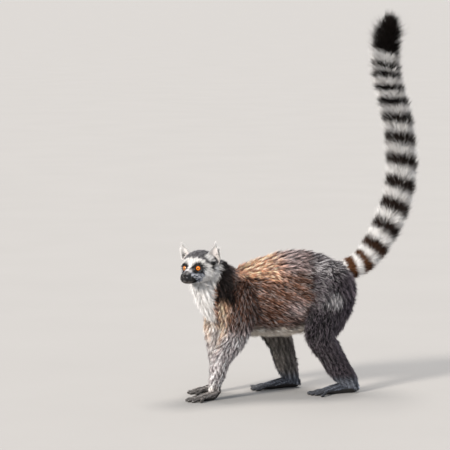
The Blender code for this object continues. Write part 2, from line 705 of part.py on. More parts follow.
def build():
    clear_scene()
    rng = np.random.default_rng(SEED)
    lemur = bpy.data.collections.new("ring_tailed_lemur")
    bpy.context.scene.collection.children.link(lemur)
    frame = head_matrix()
    parts = {}

    body = trunk()

    # The limbs leave the body inside a swollen copy of themselves, and are then cut across.
    limbs = (("left", "fore", LEFT_ARM, 1), ("right", "fore", RIGHT_ARM, -1),
             ("left", "hind", LEFT_LEG, 1), ("right", "hind", RIGHT_LEG, -1))
    for side, end, rows, inner in limbs:
        upper, lower = ("upper_arm", "forearm") if end == "fore" else ("thigh", "shank")
        swollen = limb_region(rows)
        region = loft("region", limb_rings(swollen, 12, 10))
        apply_modifiers(with_triangles(region))
        grown = swell(region, 1.4 * GAP)
        limb = part_off(body, f"{upper}_{side}", region, grown)
        joint = ELBOW_ROW if end == "fore" else KNEE_ROW
        low = part_by_plane(limb, f"{lower}_{side}", rows[joint][0], direction_at(rows, joint))
        if end == "fore":
            paw_part = hand(f"hand_{side}", rows, inner)
            place, along = rows[-1][0], direction_at(rows, len(rows) - 1)
        else:
            paw_part = foot(f"foot_{side}", rows, inner)
            place, along = (rows[-1][0][0], rows[-1][0][1], ANKLE_HEIGHT), Vector((0, 0, -1))
        remove(part_by_plane(low, "beyond", place, along))
        remove(part_by_plane(paw_part, "above", Vector(place), -Vector(along)))
        parts[f"{upper}_{side}"] = (limb, "grey_coat")
        parts[f"{lower}_{side}"] = (low, "grey_coat")
        parts[paw_part.name] = (paw_part, "leather_skin")

    # Head. The neck and throat are hollowed to take the back of the skull.
    skull = head()
    seat = swell(skull, GAP)
    hollow = copy_of(seat, "hollow")
    hollow.data.transform(frame)
    cut(body, hollow)
    remove(hollow)
    mouth = mouth_cutter()
    cut(skull, mouth)
    remove(mouth)
    for side in (1, -1):
        place = (NOSTRIL_PLACE[0], side * NOSTRIL_PLACE[1], NOSTRIL_PLACE[2])
        nostril = ball("nostril", place, (0.0028, 0.0015, 0.0011), segments=6, rows=4)
        cut(skull, nostril)
        remove(nostril)
    sockets = []
    for side in (1, -1):
        place = Vector((EYE_PLACE[0], side * EYE_PLACE[1], EYE_PLACE[2]))
        look = side * EYE_TURN
        front = place + Matrix.Rotation(look, 3, "Z") @ Vector((EYE_RADIUS, 0, 0))
        hollow = ball("socket", place, (EYE_RADIUS + GAP,) * 3, segments=12, rows=8)
        opening = ball("opening", front, (0.006, *EYE_OPENING), turn=look, segments=10, rows=6)
        cut(skull, hollow)
        cut(skull, opening)
        remove(hollow, opening)
        sockets.append((side, place, look))
    muzzle = part_by_plane(skull, "muzzle", (MUZZLE_START, 0, -0.012), (1, 0, -0.25))
    parts["muzzle"] = (muzzle, "black_coat")
    for side, place, look in sockets:
        word = "left" if side > 0 else "right"
        centre = place + Vector((0.0, side * 0.001, -0.001))
        region = ball("patch", centre, PATCH_RADII, turn=look, segments=12, rows=6)
        grown = ball("patch and gap", centre, [r + GAP for r in PATCH_RADII], turn=look,
                     segments=12, rows=6)
        patch = part_off(skull, f"eyelids_{word}", region, grown)
        parts[patch.name] = (patch, "black_coat")
        eye = ball(f"eye_{word}", place, (EYE_RADIUS,) * 3, segments=12, rows=8)
        parts[eye.name] = (eye, "amber_eye")
    skull.name = "head"
    parts["head"] = (skull, "white_coat")
    crown = part_by_plane(skull, "crown", CROWN_EDGE, (-0.62, 0, 0.78))
    parts["crown"] = (crown, "nape_coat")
    for side in (1, -1):
        word = "left" if side > 0 else "right"
        made = keep_largest(cut(ear(f"ear_{word}", side, rng), seat))
        parts[made.name] = (made, "white_coat")
    remove(seat)
    for name in ("head", "crown", "muzzle", "eyelids_left", "eyelids_right", "eye_left", "eye_right"):
        parts[name][0].data.transform(frame)
    for word in ("left", "right"):
        parts[f"ear_{word}"][0].data.transform(frame)

    # Torso and neck, parted into chest, loin, rump and underside, nape and throat.
    neck = part_by_plane(body, "neck", NECK[1][0], (-0.75, -0.12, 0.62))
    throat = part_by_plane(neck, "throat", (-0.178, -0.014, 0.246), (-0.62, 0, -0.78))
    parts["nape"] = (neck, "nape_coat")
    parts["throat"] = (throat, "white_coat")
    belly = part_by_plane(body, "belly", (0, 0, 0.148), (0, 0, -1))
    rump = part_by_plane(body, "rump", (0.080, 0, 0.22), (1, 0, 0.1))
    loin = part_by_plane(body, "loin", (-0.020, 0, 0.22), (1, 0, -0.2))
    parts["belly"] = (belly, "cream_coat")
    parts["rump"] = (rump, "grey_coat")
    parts["loin"] = (loin, "rufous_coat")
    parts["chest"] = (body, "rufous_coat")

    # Tail, ring by ring.
    edges = ring_edges()
    place, direction, _, _ = tail_frame(edges[0])
    remove(part_by_plane(rump, "stub", place[0], direction[0], 0.1))
    total = tail_line()[1][-1]
    for number, (start, end) in enumerate(zip(edges, edges[1:])):
        dark = number % 2 == 1
        name = f"tail_{'dark' if dark else 'white'}_{number // 2 + 1:02d}"
        parts[name] = (tail_piece(name, start, end, rng), "black_coat" if dark else "white_coat")
    parts["tail_tip"] = (tail_piece("tail_tip", edges[-1], total, rng), "black_coat")

    for name, (made, coat) in parts.items():
        made.name = name
        finish(keep_largest(made), coat, lemur)
    centre_on_floor([made for made, _ in parts.values()])


build()
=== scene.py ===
# The looks of a life-size model of a ring-tailed lemur that stands on all fours, tail raised.
# Places are in metres in the animal's own frame: nose to -X, its left side to -Y, floor at zero.
import math

import bpy
import numpy as np
from mathutils import Matrix, Vector


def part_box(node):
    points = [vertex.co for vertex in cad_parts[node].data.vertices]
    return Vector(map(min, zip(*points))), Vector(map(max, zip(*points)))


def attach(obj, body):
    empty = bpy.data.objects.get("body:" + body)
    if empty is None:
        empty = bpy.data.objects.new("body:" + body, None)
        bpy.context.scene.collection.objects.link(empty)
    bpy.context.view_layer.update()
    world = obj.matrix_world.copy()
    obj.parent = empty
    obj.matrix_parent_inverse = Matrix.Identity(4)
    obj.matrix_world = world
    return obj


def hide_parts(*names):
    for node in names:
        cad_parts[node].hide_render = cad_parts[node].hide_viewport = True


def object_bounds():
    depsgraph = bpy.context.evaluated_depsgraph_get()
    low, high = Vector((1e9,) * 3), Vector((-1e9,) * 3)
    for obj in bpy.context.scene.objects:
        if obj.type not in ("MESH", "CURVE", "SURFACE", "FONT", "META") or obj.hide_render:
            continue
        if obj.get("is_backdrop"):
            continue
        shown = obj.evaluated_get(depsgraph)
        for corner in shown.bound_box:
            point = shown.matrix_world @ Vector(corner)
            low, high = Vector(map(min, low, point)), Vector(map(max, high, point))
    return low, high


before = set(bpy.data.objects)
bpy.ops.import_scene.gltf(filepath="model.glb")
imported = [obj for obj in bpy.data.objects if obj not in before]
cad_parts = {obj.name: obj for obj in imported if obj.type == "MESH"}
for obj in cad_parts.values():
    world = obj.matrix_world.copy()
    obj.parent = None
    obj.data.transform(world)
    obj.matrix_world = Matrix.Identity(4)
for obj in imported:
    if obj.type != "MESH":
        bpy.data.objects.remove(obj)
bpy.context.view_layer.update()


# View, floor and light.
# The model stands on a plain pale floor. A warm lamp stands low in front of it to its left, a wider
# one over its back, and the walls all round are pale. The camera has a long lens, a little raised.

# Head: its own frame has x forward, y to the animal's left and z up, about the middle of the skull.
HEAD_PLACE = (-0.186, -0.020, 0.276)
HEAD_YAW, HEAD_ROLL = math.radians(40), math.radians(4)
EYE_PLACE = (0.0260, 0.0150, 0.0025)
HEAD_FRAME = (Matrix.Translation(HEAD_PLACE) @ Matrix.Rotation(math.pi + HEAD_YAW, 4, "Z")
              @ Matrix.Rotation(HEAD_ROLL, 4, "X"))

low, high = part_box("eye_left")
shift = (low + high) / 2 - HEAD_FRAME @ Vector(EYE_PLACE)
SHIFT = np.array([shift.x, shift.y, 0.0])

VIEW_TARGET = (-0.1247, 0.0, 0.3621)
VIEW_WIDTH, VIEW_DISTANCE = 0.945, 5.0
VIEW_AZIMUTH, VIEW_HEIGHT = math.radians(-18), math.radians(6)


def linear(code):
    """The linear colour of an sRGB hex value."""
    share = np.array([int(code[k:k + 2], 16) for k in (1, 3, 5)]) / 255
    return np.where(share <= 0.04045, share / 12.92, ((share + 0.055) / 1.055) ** 2.4)


def node(tree, kind, links=None, **settings):
    """Adds a node of a kind with its settings, and links its named inputs from other sockets."""
    made = tree.nodes.new(kind)
    for name, value in settings.items():
        setattr(made, name, value)
    for name, source in (links or {}).items():
        if isinstance(source, bpy.types.NodeSocket):
            tree.links.new(source, made.inputs[name])
        else:
            made.inputs[name].default_value = source
    return made


def aimed(thing, place, target):
    """Puts a camera or lamp at a place, looking at a target."""
    made = bpy.data.objects.new(thing.name, thing)
    bpy.context.scene.collection.objects.link(made)
    made.location = Vector(place)
    made.rotation_euler = (Vector(place) - Vector(target)).to_track_quat("Z", "Y").to_euler()
    return made


centre = Vector(VIEW_TARGET) + Vector(SHIFT)
away = Vector((math.sin(VIEW_AZIMUTH) * math.cos(VIEW_HEIGHT),
               -math.cos(VIEW_AZIMUTH) * math.cos(VIEW_HEIGHT), math.sin(VIEW_HEIGHT)))
lens = bpy.data.cameras.new("camera")
lens.sensor_width = 36
lens.lens = 36 * VIEW_DISTANCE / VIEW_WIDTH
lens.clip_end = 600
bpy.context.scene.camera = aimed(lens, centre + away * VIEW_DISTANCE, centre)

for name, place, spread, power, colour in (
        ("key lamp", (-3.4, -1.8, 2.05), 10, 4.1, "#fff7ee"),
        ("top lamp", (0.6, 0.7, 3.2), 22, 2.4, "#fff8f2")):
    lamp = bpy.data.lights.new(name, "SUN")
    lamp.angle = math.radians(spread)
    lamp.energy = power
    lamp.color = linear(colour)
    aimed(lamp, place, (0, 0, 0.3))

room = bpy.data.worlds.new("room")
bpy.context.scene.world = room
room.use_nodes = True
room.node_tree.nodes["Background"].inputs["Color"].default_value = (*linear("#e6ecf5"), 1)
room.node_tree.nodes["Background"].inputs["Strength"].default_value = 0.76
bpy.context.scene.view_settings.view_transform = "Standard"


def new_object(name, points, faces):
    """A mesh object from arrays of points, in the animal's frame, and of faces of one size."""
    mesh = bpy.data.meshes.new(name)
    mesh.vertices.add(len(points))
    mesh.vertices.foreach_set("co", (points + SHIFT).astype(np.float32).ravel())
    mesh.loops.add(faces.size)
    mesh.loops.foreach_set("vertex_index", faces.astype(np.int32).ravel())
    mesh.polygons.add(len(faces))
    mesh.polygons.foreach_set("loop_start", np.arange(len(faces), dtype=np.int32) * faces.shape[1])
    mesh.update(calc_edges=True)
    mesh.shade_smooth()
    made = bpy.data.objects.new(name, mesh)
    bpy.context.scene.collection.objects.link(made)
    return made


def new_material(name):
    """A material of a name, with its tree of nodes and its shader."""
    made = bpy.data.materials.new(name)
    made.use_nodes = True
    return made, made.node_tree, made.node_tree.nodes["Principled BSDF"]


MOTTLE_SCALE = 3.0  # clouds about 0.3 m across


def floor_plaster():
    """Painted floor: matt, even, with a barely seen trowel mottle."""
    made, tree, shader = new_material("matt_floor_paint")
    where = node(tree, "ShaderNodeTexCoord")
    cloud = node(tree, "ShaderNodeTexNoise", {"Vector": where.outputs["Object"], "Scale": MOTTLE_SCALE})
    ramp = node(tree, "ShaderNodeValToRGB", {"Fac": cloud.outputs["Fac"]})
    ramp.color_ramp.elements[0].color = (*linear("#a19f9c"), 1)
    ramp.color_ramp.elements[1].color = (*linear("#a6a4a1"), 1)
    tree.links.new(ramp.outputs["Color"], shader.inputs["Base Color"])
    shader.inputs["Roughness"].default_value = 0.9
    return made


corners = np.array([(-180, -180, 0), (180, -180, 0), (180, 180, 0), (-180, 180, 0)], float)
floor = new_object("floor", corners, np.array([[0, 1, 2, 3]]))
floor.data.materials.append(floor_plaster())
floor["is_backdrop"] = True


# Skin of the body under the coat.
# On the real model this is the tanned skin over its form. It lies inside the outline of the hair
# by the hair's depth, and is one surface over torso, neck, limbs and the fleshy core of the tail.

TORSO = ((-0.160, 0.020, 0.218, 0.172), (-0.148, 0.036, 0.246, 0.152), (-0.122, 0.047, 0.266, 0.135),
         (-0.085, 0.053, 0.276, 0.125), (-0.045, 0.056, 0.289, 0.121), (0.000, 0.059, 0.301, 0.120),
         (0.045, 0.061, 0.305, 0.128), (0.083, 0.062, 0.298, 0.142), (0.114, 0.058, 0.284, 0.160),
         (0.137, 0.046, 0.265, 0.180), (0.152, 0.022, 0.240, 0.208))
# Neck, throat and limbs: place, half width across, half depth, and the depth of the coat there.
NECK = ((-0.100, 0.000, 0.215, 0.046, 0.046, 0.010), (-0.128, -0.002, 0.234, 0.044, 0.045, 0.009),
        (-0.150, -0.007, 0.256, 0.039, 0.039, 0.008), (-0.168, -0.012, 0.270, 0.034, 0.034, 0.007))
THROAT = ((-0.190, -0.024, 0.256, 0.022, 0.018, 0.008), (-0.187, -0.022, 0.241, 0.026, 0.022, 0.010),
          (-0.174, -0.014, 0.222, 0.029, 0.025, 0.011), (-0.161, -0.008, 0.203, 0.030, 0.026, 0.011),
          (-0.148, -0.002, 0.172, 0.026, 0.020, 0.010))
LEFT_ARM = ((-0.098, -0.032, 0.238, 0.024, 0.030, 0.009), (-0.108, -0.040, 0.208, 0.029, 0.041, 0.009),
            (-0.1135, -0.049, 0.168, 0.026, 0.038, 0.008), (-0.124, -0.055, 0.132, 0.0225, 0.0325, 0.0075),
            (-0.148, -0.053, 0.090, 0.019, 0.024, 0.0065), (-0.156, -0.0485, 0.055, 0.0155, 0.019, 0.005),
            (-0.1615, -0.046, 0.034, 0.0135, 0.015, 0.0035))
RIGHT_ARM = ((-0.098, 0.032, 0.238, 0.024, 0.030, 0.009), (-0.106, 0.040, 0.208, 0.029, 0.041, 0.009),
             (-0.1175, 0.049, 0.168, 0.026, 0.038, 0.008), (-0.1255, 0.055, 0.130, 0.022, 0.029, 0.0075),
             (-0.1265, 0.051, 0.088, 0.0185, 0.0225, 0.0065), (-0.1275, 0.046, 0.052, 0.015, 0.0175, 0.005),
             (-0.131, 0.043, 0.034, 0.013, 0.014, 0.0035))
LEFT_LEG = ((0.100, -0.028, 0.252, 0.028, 0.042, 0.010), (0.103, -0.038, 0.222, 0.034, 0.053, 0.010),
            (0.088, -0.052, 0.175, 0.031, 0.048, 0.010), (0.067, -0.062, 0.130, 0.026, 0.0365, 0.008),
            (0.086, -0.060, 0.094, 0.0225, 0.0305, 0.007), (0.110, -0.055, 0.056, 0.0195, 0.0275, 0.006),
            (0.1355, -0.051, 0.026, 0.0145, 0.021, 0.0035))
RIGHT_LEG = ((0.096, 0.028, 0.252, 0.028, 0.042, 0.010), (0.092, 0.038, 0.222, 0.034, 0.055, 0.010),
             (0.050, 0.054, 0.180, 0.031, 0.048, 0.010), (0.008, 0.064, 0.136, 0.026, 0.037, 0.008),
             (0.022, 0.061, 0.094, 0.0225, 0.030, 0.007), (0.030, 0.054, 0.056, 0.0195, 0.0265, 0.006),
             (0.0385, 0.048, 0.026, 0.0145, 0.0205, 0.0035))
TORSO_COAT = 0.0100
TORSO_RINGS = 60
# How high the middle lines of trunk and head run between their lower and upper outlines.
TRUNK_MIDDLE, HEAD_MIDDLE = 0.46, 0.48
# Tail: points of its middle line in X and Z, and the radius of its skin along it.
TAIL_LINE = ((0.136, 0.256), (0.1658, 0.2637), (0.1912, 0.2788), (0.2165, 0.3098), (0.2440, 0.3560),
             (0.2640, 0.4080), (0.2731, 0.4636), (0.2720, 0.5180), (0.2640, 0.5750), (0.2510, 0.6260),
             (0.2380, 0.6742), (0.2345, 0.7136), (0.2370, 0.7529), (0.2440, 0.7760))
TAIL_SKIN = (0.0150, 0.0120, 0.0105, 0.0100, 0.0096, 0.0092, 0.0086, 0.0078, 0.0064)
# Grain of the skin where forms are fused: coarse on the body, fine on hands and feet.
BODY_VOXEL, PAW_VOXEL = 0.0042, 0.0011


def smooth_rows(rows, count):
    """Rows of numbers resampled along a Catmull-Rom spline through them."""
    rows = np.asarray(rows, float)
    last = len(rows) - 1
    place = np.linspace(0, last, count)
    index = np.clip(place.astype(int), 0, last - 1)
    f = (place - index)[:, None]
    padded = np.vstack([2 * rows[0] - rows[1], rows, 2 * rows[-1] - rows[-2]])
    a, b, c, d = (padded[index + k] for k in range(4))
    cubic = (-a + 3 * b - 3 * c + d) * f**3 + (2 * a - 5 * b + 4 * c - d) * f**2
    return 0.5 * (cubic + (c - a) * f + 2 * b)


def unit(rows):
    """Each row scaled to length one."""
    return rows / np.maximum(np.linalg.norm(rows, axis=-1, keepdims=True), 1e-12)


def round_line(line, widths, tops, bottoms, count, side=(0.0, 1.0, 0.0)):
    """Rings round a line: at angle t each point is width * cos t across and height * sin t up."""
    along = unit(np.gradient(line, axis=0))
    across = unit(side - along * (along @ np.array(side))[:, None])
    up = np.cross(along, across)
    angle = np.arange(count) * 2 * math.pi / count
    rise = np.sin(angle)[None, :]
    height = np.where(rise > 0, tops[:, None] * rise, bottoms[:, None] * rise)[..., None]
    wide = widths[:, None, None] * np.cos(angle)[None, :, None]
    return line[:, None] + across[:, None] * wide + up[:, None] * height


def closed_grid(rings):
    """Points and four-sided faces of rings closed by a pole at each end, all facing outwards."""
    count, sides = rings.shape[:2]
    points = np.vstack([rings.reshape(-1, 3), rings[0].mean(0), rings[-1].mean(0)])
    k = np.arange(sides)
    n = (k + 1) % sides
    row = np.arange(count - 1)[:, None] * sides
    walls = np.stack([row + k, row + n, row + sides + n, row + sides + k], -1).reshape(-1, 4)
    end = (count - 1) * sides
    first = np.stack([n, k, np.full(sides, count * sides)], 1)
    last = np.stack([end + k, end + n, np.full(sides, count * sides + 1)], 1)
    triangles = np.vstack([walls[:, [0, 1, 2]], walls[:, [0, 2, 3]], first, last])
    a, b, c = (points[triangles[:, j]] for j in range(3))
    if np.einsum("ij,ij->i", a, np.cross(b, c)).sum() < 0:
        triangles = triangles[:, ::-1]
    return points, triangles


def joined_grids(name, grids):
    """One object from several closed grids that pass into one another."""
    points, faces, start = [], [], 0
    for rings in grids:
        some, triangles = closed_grid(rings)
        points.append(some)
        faces.append(triangles + start)
        start += len(some)
    return new_object(name, np.vstack(points), np.vstack(faces))


def settled(made):
    """Replaces an object's mesh by what its modifiers make of it."""
    graph = bpy.context.evaluated_depsgraph_get()
    mesh = bpy.data.meshes.new_from_object(made.evaluated_get(graph))
    made.modifiers.clear()
    made.data = mesh
    return made


def fused(made, voxel, rounds):
    """One closed surface round everything in a mesh, rounded where its forms meet."""
    wrap = made.modifiers.new("wrap", "REMESH")
    wrap.mode = "VOXEL"
    wrap.voxel_size = voxel
    rub = made.modifiers.new("rub", "SMOOTH")
    rub.factor = 0.5
    rub.iterations = rounds
    settled(made)
    made.data.shade_smooth()
    return made


def limb_grid(rows, rings, sides):
    """A limb's skin: its outline less the depth of the coat."""
    flat = smooth_rows(rows, rings)
    return round_line(flat[:, :3], flat[:, 3] - flat[:, 5], flat[:, 4] - flat[:, 5],
                      flat[:, 4] - flat[:, 5], sides)


def tail_line():
    """Points close together along the tail's middle line, with the length up to each."""
    points = smooth_rows([(x, 0.0, z) for x, z in TAIL_LINE], 400)
    steps = np.linalg.norm(np.diff(points, axis=0), axis=1)
    return points, np.concatenate([[0.0], np.cumsum(steps)])


def body_grids():
    """The skin's forms from chest to rump, neck, throat, limbs and tail."""
    x, wide, top, bottom = smooth_rows(TORSO, TORSO_RINGS).T
    middle = bottom + TRUNK_MIDDLE * (top - bottom)
    line = np.stack([x, np.zeros(TORSO_RINGS), middle], 1)
    torso = round_line(line, np.maximum(wide - TORSO_COAT, 0.010),
                       np.maximum(top - middle - TORSO_COAT, 0.010),
                       np.maximum(middle - bottom - TORSO_COAT, 0.010), 48)
    points, length = tail_line()
    stops = np.linspace(0, length[-1], 150)
    tail = np.stack([np.interp(stops, length, points[:, k]) for k in range(3)], 1)
    radius = np.interp(stops / length[-1], np.linspace(0, 1, len(TAIL_SKIN)), TAIL_SKIN)
    radius *= np.sqrt(np.clip((length[-1] + 0.002 - stops) / 0.012, 0, 1))
    tail[0] -= unit(tail[1] - tail[0]) * 0.03
    grids = [torso, limb_grid(NECK, 20, 32), limb_grid(THROAT, 16, 28)]
    grids += [limb_grid(limb, 44, 28) for limb in (LEFT_ARM, RIGHT_ARM, LEFT_LEG, RIGHT_LEG)]
    return [*grids, round_line(tail, radius, radius, radius, 18)]


body = fused(joined_grids("body", body_grids()), BODY_VOXEL, 8)


# Head under the coat.
# Brow, cheeks and a narrow muzzle that ends in a bare leathery nose pad. The lids stand proud round
# each eye, the lips meet in a line, and the skin dips behind the lids so that the eye sits in it.

HEAD = ((-0.040, 0.022, 0.014, -0.024), (-0.030, 0.031, 0.0275, -0.030),
        (-0.018, 0.0370, 0.0348, -0.0335), (-0.004, 0.0390, 0.0374, -0.0345),
        (0.008, 0.0380, 0.0370, -0.0340), (0.018, 0.0345, 0.0330, -0.0328),
        (0.026, 0.0285, 0.0256, -0.0315), (0.033, 0.0210, 0.0160, -0.0300),
        (0.040, 0.0160, 0.0070, -0.0292), (0.049, 0.0132, 0.0000, -0.0286),
        (0.056, 0.0120, -0.0034, -0.0276), (0.062, 0.0100, -0.0052, -0.0252),
        (0.0665, 0.0068, -0.0074, -0.0206), (0.0685, 0.0030, -0.0100, -0.0155))
# Depth of the hair at places forward along the head: over the crown, and over cheeks and chin.
HEAD_COAT_AT = (-0.040, -0.018, 0.008, 0.018, 0.026, 0.036, 0.044, 0.0685)
CROWN_COAT = (0.0060, 0.0050, 0.0040, 0.0030, 0.0018, 0.0010, 0.0006, 0.0002)
CHEEK_COAT = (0.0070, 0.0080, 0.0085, 0.0072, 0.0045, 0.0020, 0.0009, 0.0002)
EYE_RADIUS, LID_RADIUS = 0.0085, 0.0099
# How far from an eye's middle the skin still belongs to its opening, and where it ends inside.
LID_REACH, SOCKET_RADIUS = 0.0135, 0.0066
EYE_TURN = math.radians(14)
EYE_OPENING = (0.0062, 0.0056)
NOSE_PAD = ((0.0640, 0.0, -0.0098), (0.0054, 0.0064, 0.0052))
NOSTRIL, NOSTRIL_WING = (0.0682, 0.0037, -0.0105), (0.0650, 0.0066, -0.0125)
BROW = (0.0215, 0.0150, 0.0140)
MOUTH_FRONT, MOUTH_LENGTH, MOUTH_HEIGHT = 0.0655, 0.035, -0.0205


def from_head(points):
    """Points of the head's own frame in the animal's frame."""
    turn = np.array(HEAD_FRAME)
    return points @ turn[:3, :3].T + turn[:3, 3]


def to_head(points):
    """Points of the animal's frame in the head's own frame."""
    turn = np.array(HEAD_FRAME)
    return (points - turn[:3, 3]) @ turn[:3, :3]


def smoothstep(low, high, value):
    """Zero up to low and one from high on, with a soft S-shaped rise between."""
    share = np.clip((value - low) / (high - low), 0, 1)
    return share * share * (3 - 2 * share)


def swollen(points, middle, radii, soft):
    """Points inside an ellipsoid are carried out to its surface, with a soft edge round it."""
    away = (points - middle) / radii
    reach = np.linalg.norm(away, axis=-1, keepdims=True)
    more = np.logaddexp(reach / soft, 1 / soft) * soft
    return middle + away / np.maximum(reach, 1e-6) * more * radii


def eye_opening(points, side):
    """Place in the opening between the lids, from 0 in its middle to 1 on its rim, and distance."""
    centre = np.array(EYE_PLACE) * (1, side, 1)
    gaze = np.array([math.cos(EYE_TURN), side * math.sin(EYE_TURN), 0.0])
    across = np.array([-gaze[1], gaze[0], 0.0])
    away = points - centre
    distance = np.linalg.norm(away, axis=-1)
    way = away / np.maximum(distance, 1e-6)[..., None]
    wide, tall = (size / EYE_RADIUS for size in EYE_OPENING)
    share = np.hypot(way @ across / wide, (way[..., 2] + 0.03) / tall)
    return np.where(way @ gaze > 0, share, 3.0), distance


def mouth_line(points):
    """Height above the line of the lips, and a share that falls to nothing past its corners."""
    share = np.sqrt(np.clip((MOUTH_FRONT - points[..., 0]) / MOUTH_LENGTH, 0, 1))
    rise = points[..., 2] - (MOUTH_HEIGHT + 0.003 * share**2)
    return rise, smoothstep(0.0305, 0.0345, points[..., 0])


def head_grid(rings, sides):
    """The head's rings less the coat, with lids, eye openings, nose pad, nostrils and lips."""
    x, wide, top, bottom = smooth_rows(HEAD, rings).T
    middle = bottom + HEAD_MIDDLE * (top - bottom)
    over = np.interp(x, HEAD_COAT_AT, CROWN_COAT)
    beside = np.interp(x, HEAD_COAT_AT, CHEEK_COAT)
    line = np.stack([x, np.zeros(rings), middle], 1)
    angle = np.arange(sides) * 2 * math.pi / sides
    cosine, sine = np.cos(angle)[None, :], np.sin(angle)[None, :]
    depth = over[:, None] + (beside - over)[:, None] * smoothstep(0.75, -0.1, sine)
    width = np.maximum(wide[:, None] - depth, 0.0025)
    height = np.where(sine > 0, (top - middle)[:, None], (middle - bottom)[:, None]) - depth
    points = np.stack([np.broadcast_to(x[:, None], width.shape), width * cosine,
                       line[:, 2:3] + np.maximum(height, 0.0015) * sine], -1)
    for side in (1, -1):
        brow = points - np.array(BROW) * (1, side, 1)
        bump = np.exp(-np.sum((brow / (0.007, 0.010, 0.0045)) ** 2, -1))
        points = points + bump[..., None] * np.array([0.0010, 0.0, 0.0012])
        centre = np.array(EYE_PLACE) * (1, side, 1)
        near = points - centre
        inside = np.linalg.norm(near, axis=-1) < 0.020
        bulge = swollen(points, centre, (LID_RADIUS,) * 3, 0.05)
        points = np.where(inside[..., None], bulge, points)
        share, distance = eye_opening(points, side)
        way = (points - centre) / np.maximum(distance, 1e-6)[..., None]
        hole = smoothstep(1.07, 0.95, share) * (distance < LID_REACH)
        rim = 0.0005 * np.exp(-((share - 1.13) / 0.09) ** 2) * (distance < LID_REACH)
        reach = distance + rim + (SOCKET_RADIUS - distance) * hole
        points = centre + way * reach[..., None]
    points = swollen(points, np.array(NOSE_PAD[0]), np.array(NOSE_PAD[1]), 0.05)
    for side in (1, -1):
        nostril = points - np.array(NOSTRIL) * (1, side, 1)
        dent = np.exp(-np.sum((nostril / (0.0018, 0.0015, 0.0011)) ** 2, -1))
        points = points - dent[..., None] * np.array([0.0021, side * 0.0006, 0.0])
        wing = points - np.array(NOSTRIL_WING) * (1, side, 1)
        dent = np.exp(-np.sum((wing / (0.0016, 0.0012, 0.0008)) ** 2, -1))
        points = points - dent[..., None] * np.array([0.0004, side * 0.0009, 0.0])
    groove = np.exp(-(points[..., 1] / 0.0006) ** 2) * smoothstep(0.064, 0.067, points[..., 0])
    groove *= smoothstep(-0.0090, -0.0110, points[..., 2])
    points[..., 0] -= 0.0006 * groove
    rise, share = mouth_line(points)
    parted = share * np.exp(-(rise / 0.0008) ** 2)
    upper, lower = (np.exp(-((rise + step) / 0.0013) ** 2) for step in (-0.0018, 0.0018))
    lips = share * (upper + 0.8 * lower)
    outward = points * (0, 1, 0) + np.maximum(points[..., :1] - 0.058, 0) * (1.6, 0, 0)
    outward = unit(outward)
    points = points + outward * (0.0005 * lips - 0.0011 * parted)[..., None]
    return from_head(points)


head = joined_grids("head", [head_grid(220, 150)])
rub = head.modifiers.new("rub", "SMOOTH")
rub.factor = 0.4
rub.iterations = 2
settled(head)


# Ears.
# Each ear is a thin leaf of gristle and skin, curled into a cup that narrows to a soft point.

EAR_PLACE = (-0.008, 0.0305, 0.0135)
EAR_LEAN = (0.34, 0.29, 0.84)
EAR_LENGTH, EAR_WIDTH, EAR_WALL = 0.0280, 0.030, 0.0015
# The leaf starts this share of its length below the skin, and this far behind its cup's deepest line.
EAR_ROOT, EAR_SET_BACK = -0.22, 0.008


def ear_cup(side, rows=26, columns=22):
    """Middle surface of an ear: arcs across it, whose width follows (1 - rise**1.6)**0.75."""
    lean = unit(np.array([EAR_LEAN[0], side * EAR_LEAN[1], EAR_LEAN[2]]))
    facing = unit(np.cross(np.cross(lean, [1.0, side * 0.28, 0.0]), lean))
    across = np.cross(lean, facing)
    rise = np.linspace(EAR_ROOT, 1.0, rows)
    half = 0.5 * EAR_WIDTH * np.clip(1 - np.clip(rise, 0, 1) ** 1.6, 0.004, 1) ** 0.75
    half *= 1 - 0.25 * np.clip(0.25 - rise, 0, 1) / 0.35
    curl = np.radians(np.linspace(92, 30, rows))
    angle = np.linspace(-1, 1, columns)[None, :] * curl[:, None]
    radius = half / np.sin(np.minimum(curl, math.pi / 2))
    depth = radius[:, None] * (1 - np.cos(angle))
    base = np.array(EAR_PLACE) * (1, side, 1)
    place = (base + rise[:, None, None] * EAR_LENGTH * lean
             + (radius[:, None] * np.sin(angle))[..., None] * across
             + (depth - EAR_SET_BACK)[..., None] * facing)
    return place, lean, facing, across


def leaf(name, middle, wall):
    """A closed leaf: a surface moved half its wall to each side, with the two joined round."""
    out = unit(np.cross(np.gradient(middle, axis=0), np.gradient(middle, axis=1)))
    front, back = middle + out * wall / 2, middle - out * wall / 2
    rings = np.concatenate([front, back[:, ::-1]], 1)
    return joined_grids(name, [rings])


ears = []
for side in (1, -1):
    cup = ear_cup(side)[0]
    ears.append(leaf("ear", from_head(cup), EAR_WALL))


# Hands and feet.
# Bare black leathery skin, thin on the back of the hand, with soft pads under the palm and digits.

HAND_HEADING, FOOT_HEADING = math.radians(186), math.radians(184)
# Digits: start to the side of the middle line, splay in degrees, length.
HAND_DIGITS = ((0.0085, 48, 0.020), (0.0075, 14, 0.029), (0.0025, 4, 0.034), (-0.0030, -7, 0.034),
               (-0.0080, -22, 0.027))
FOOT_DIGITS = ((0.0090, 42, 0.032), (0.0070, 9, 0.030), (0.0020, 2, 0.036), (-0.0035, -6, 0.038),
               (-0.0085, -16, 0.034))
HAND_KNUCKLE, FOOT_KNUCKLE = 0.032, 0.056
DIGIT_RADIUS = 0.0033
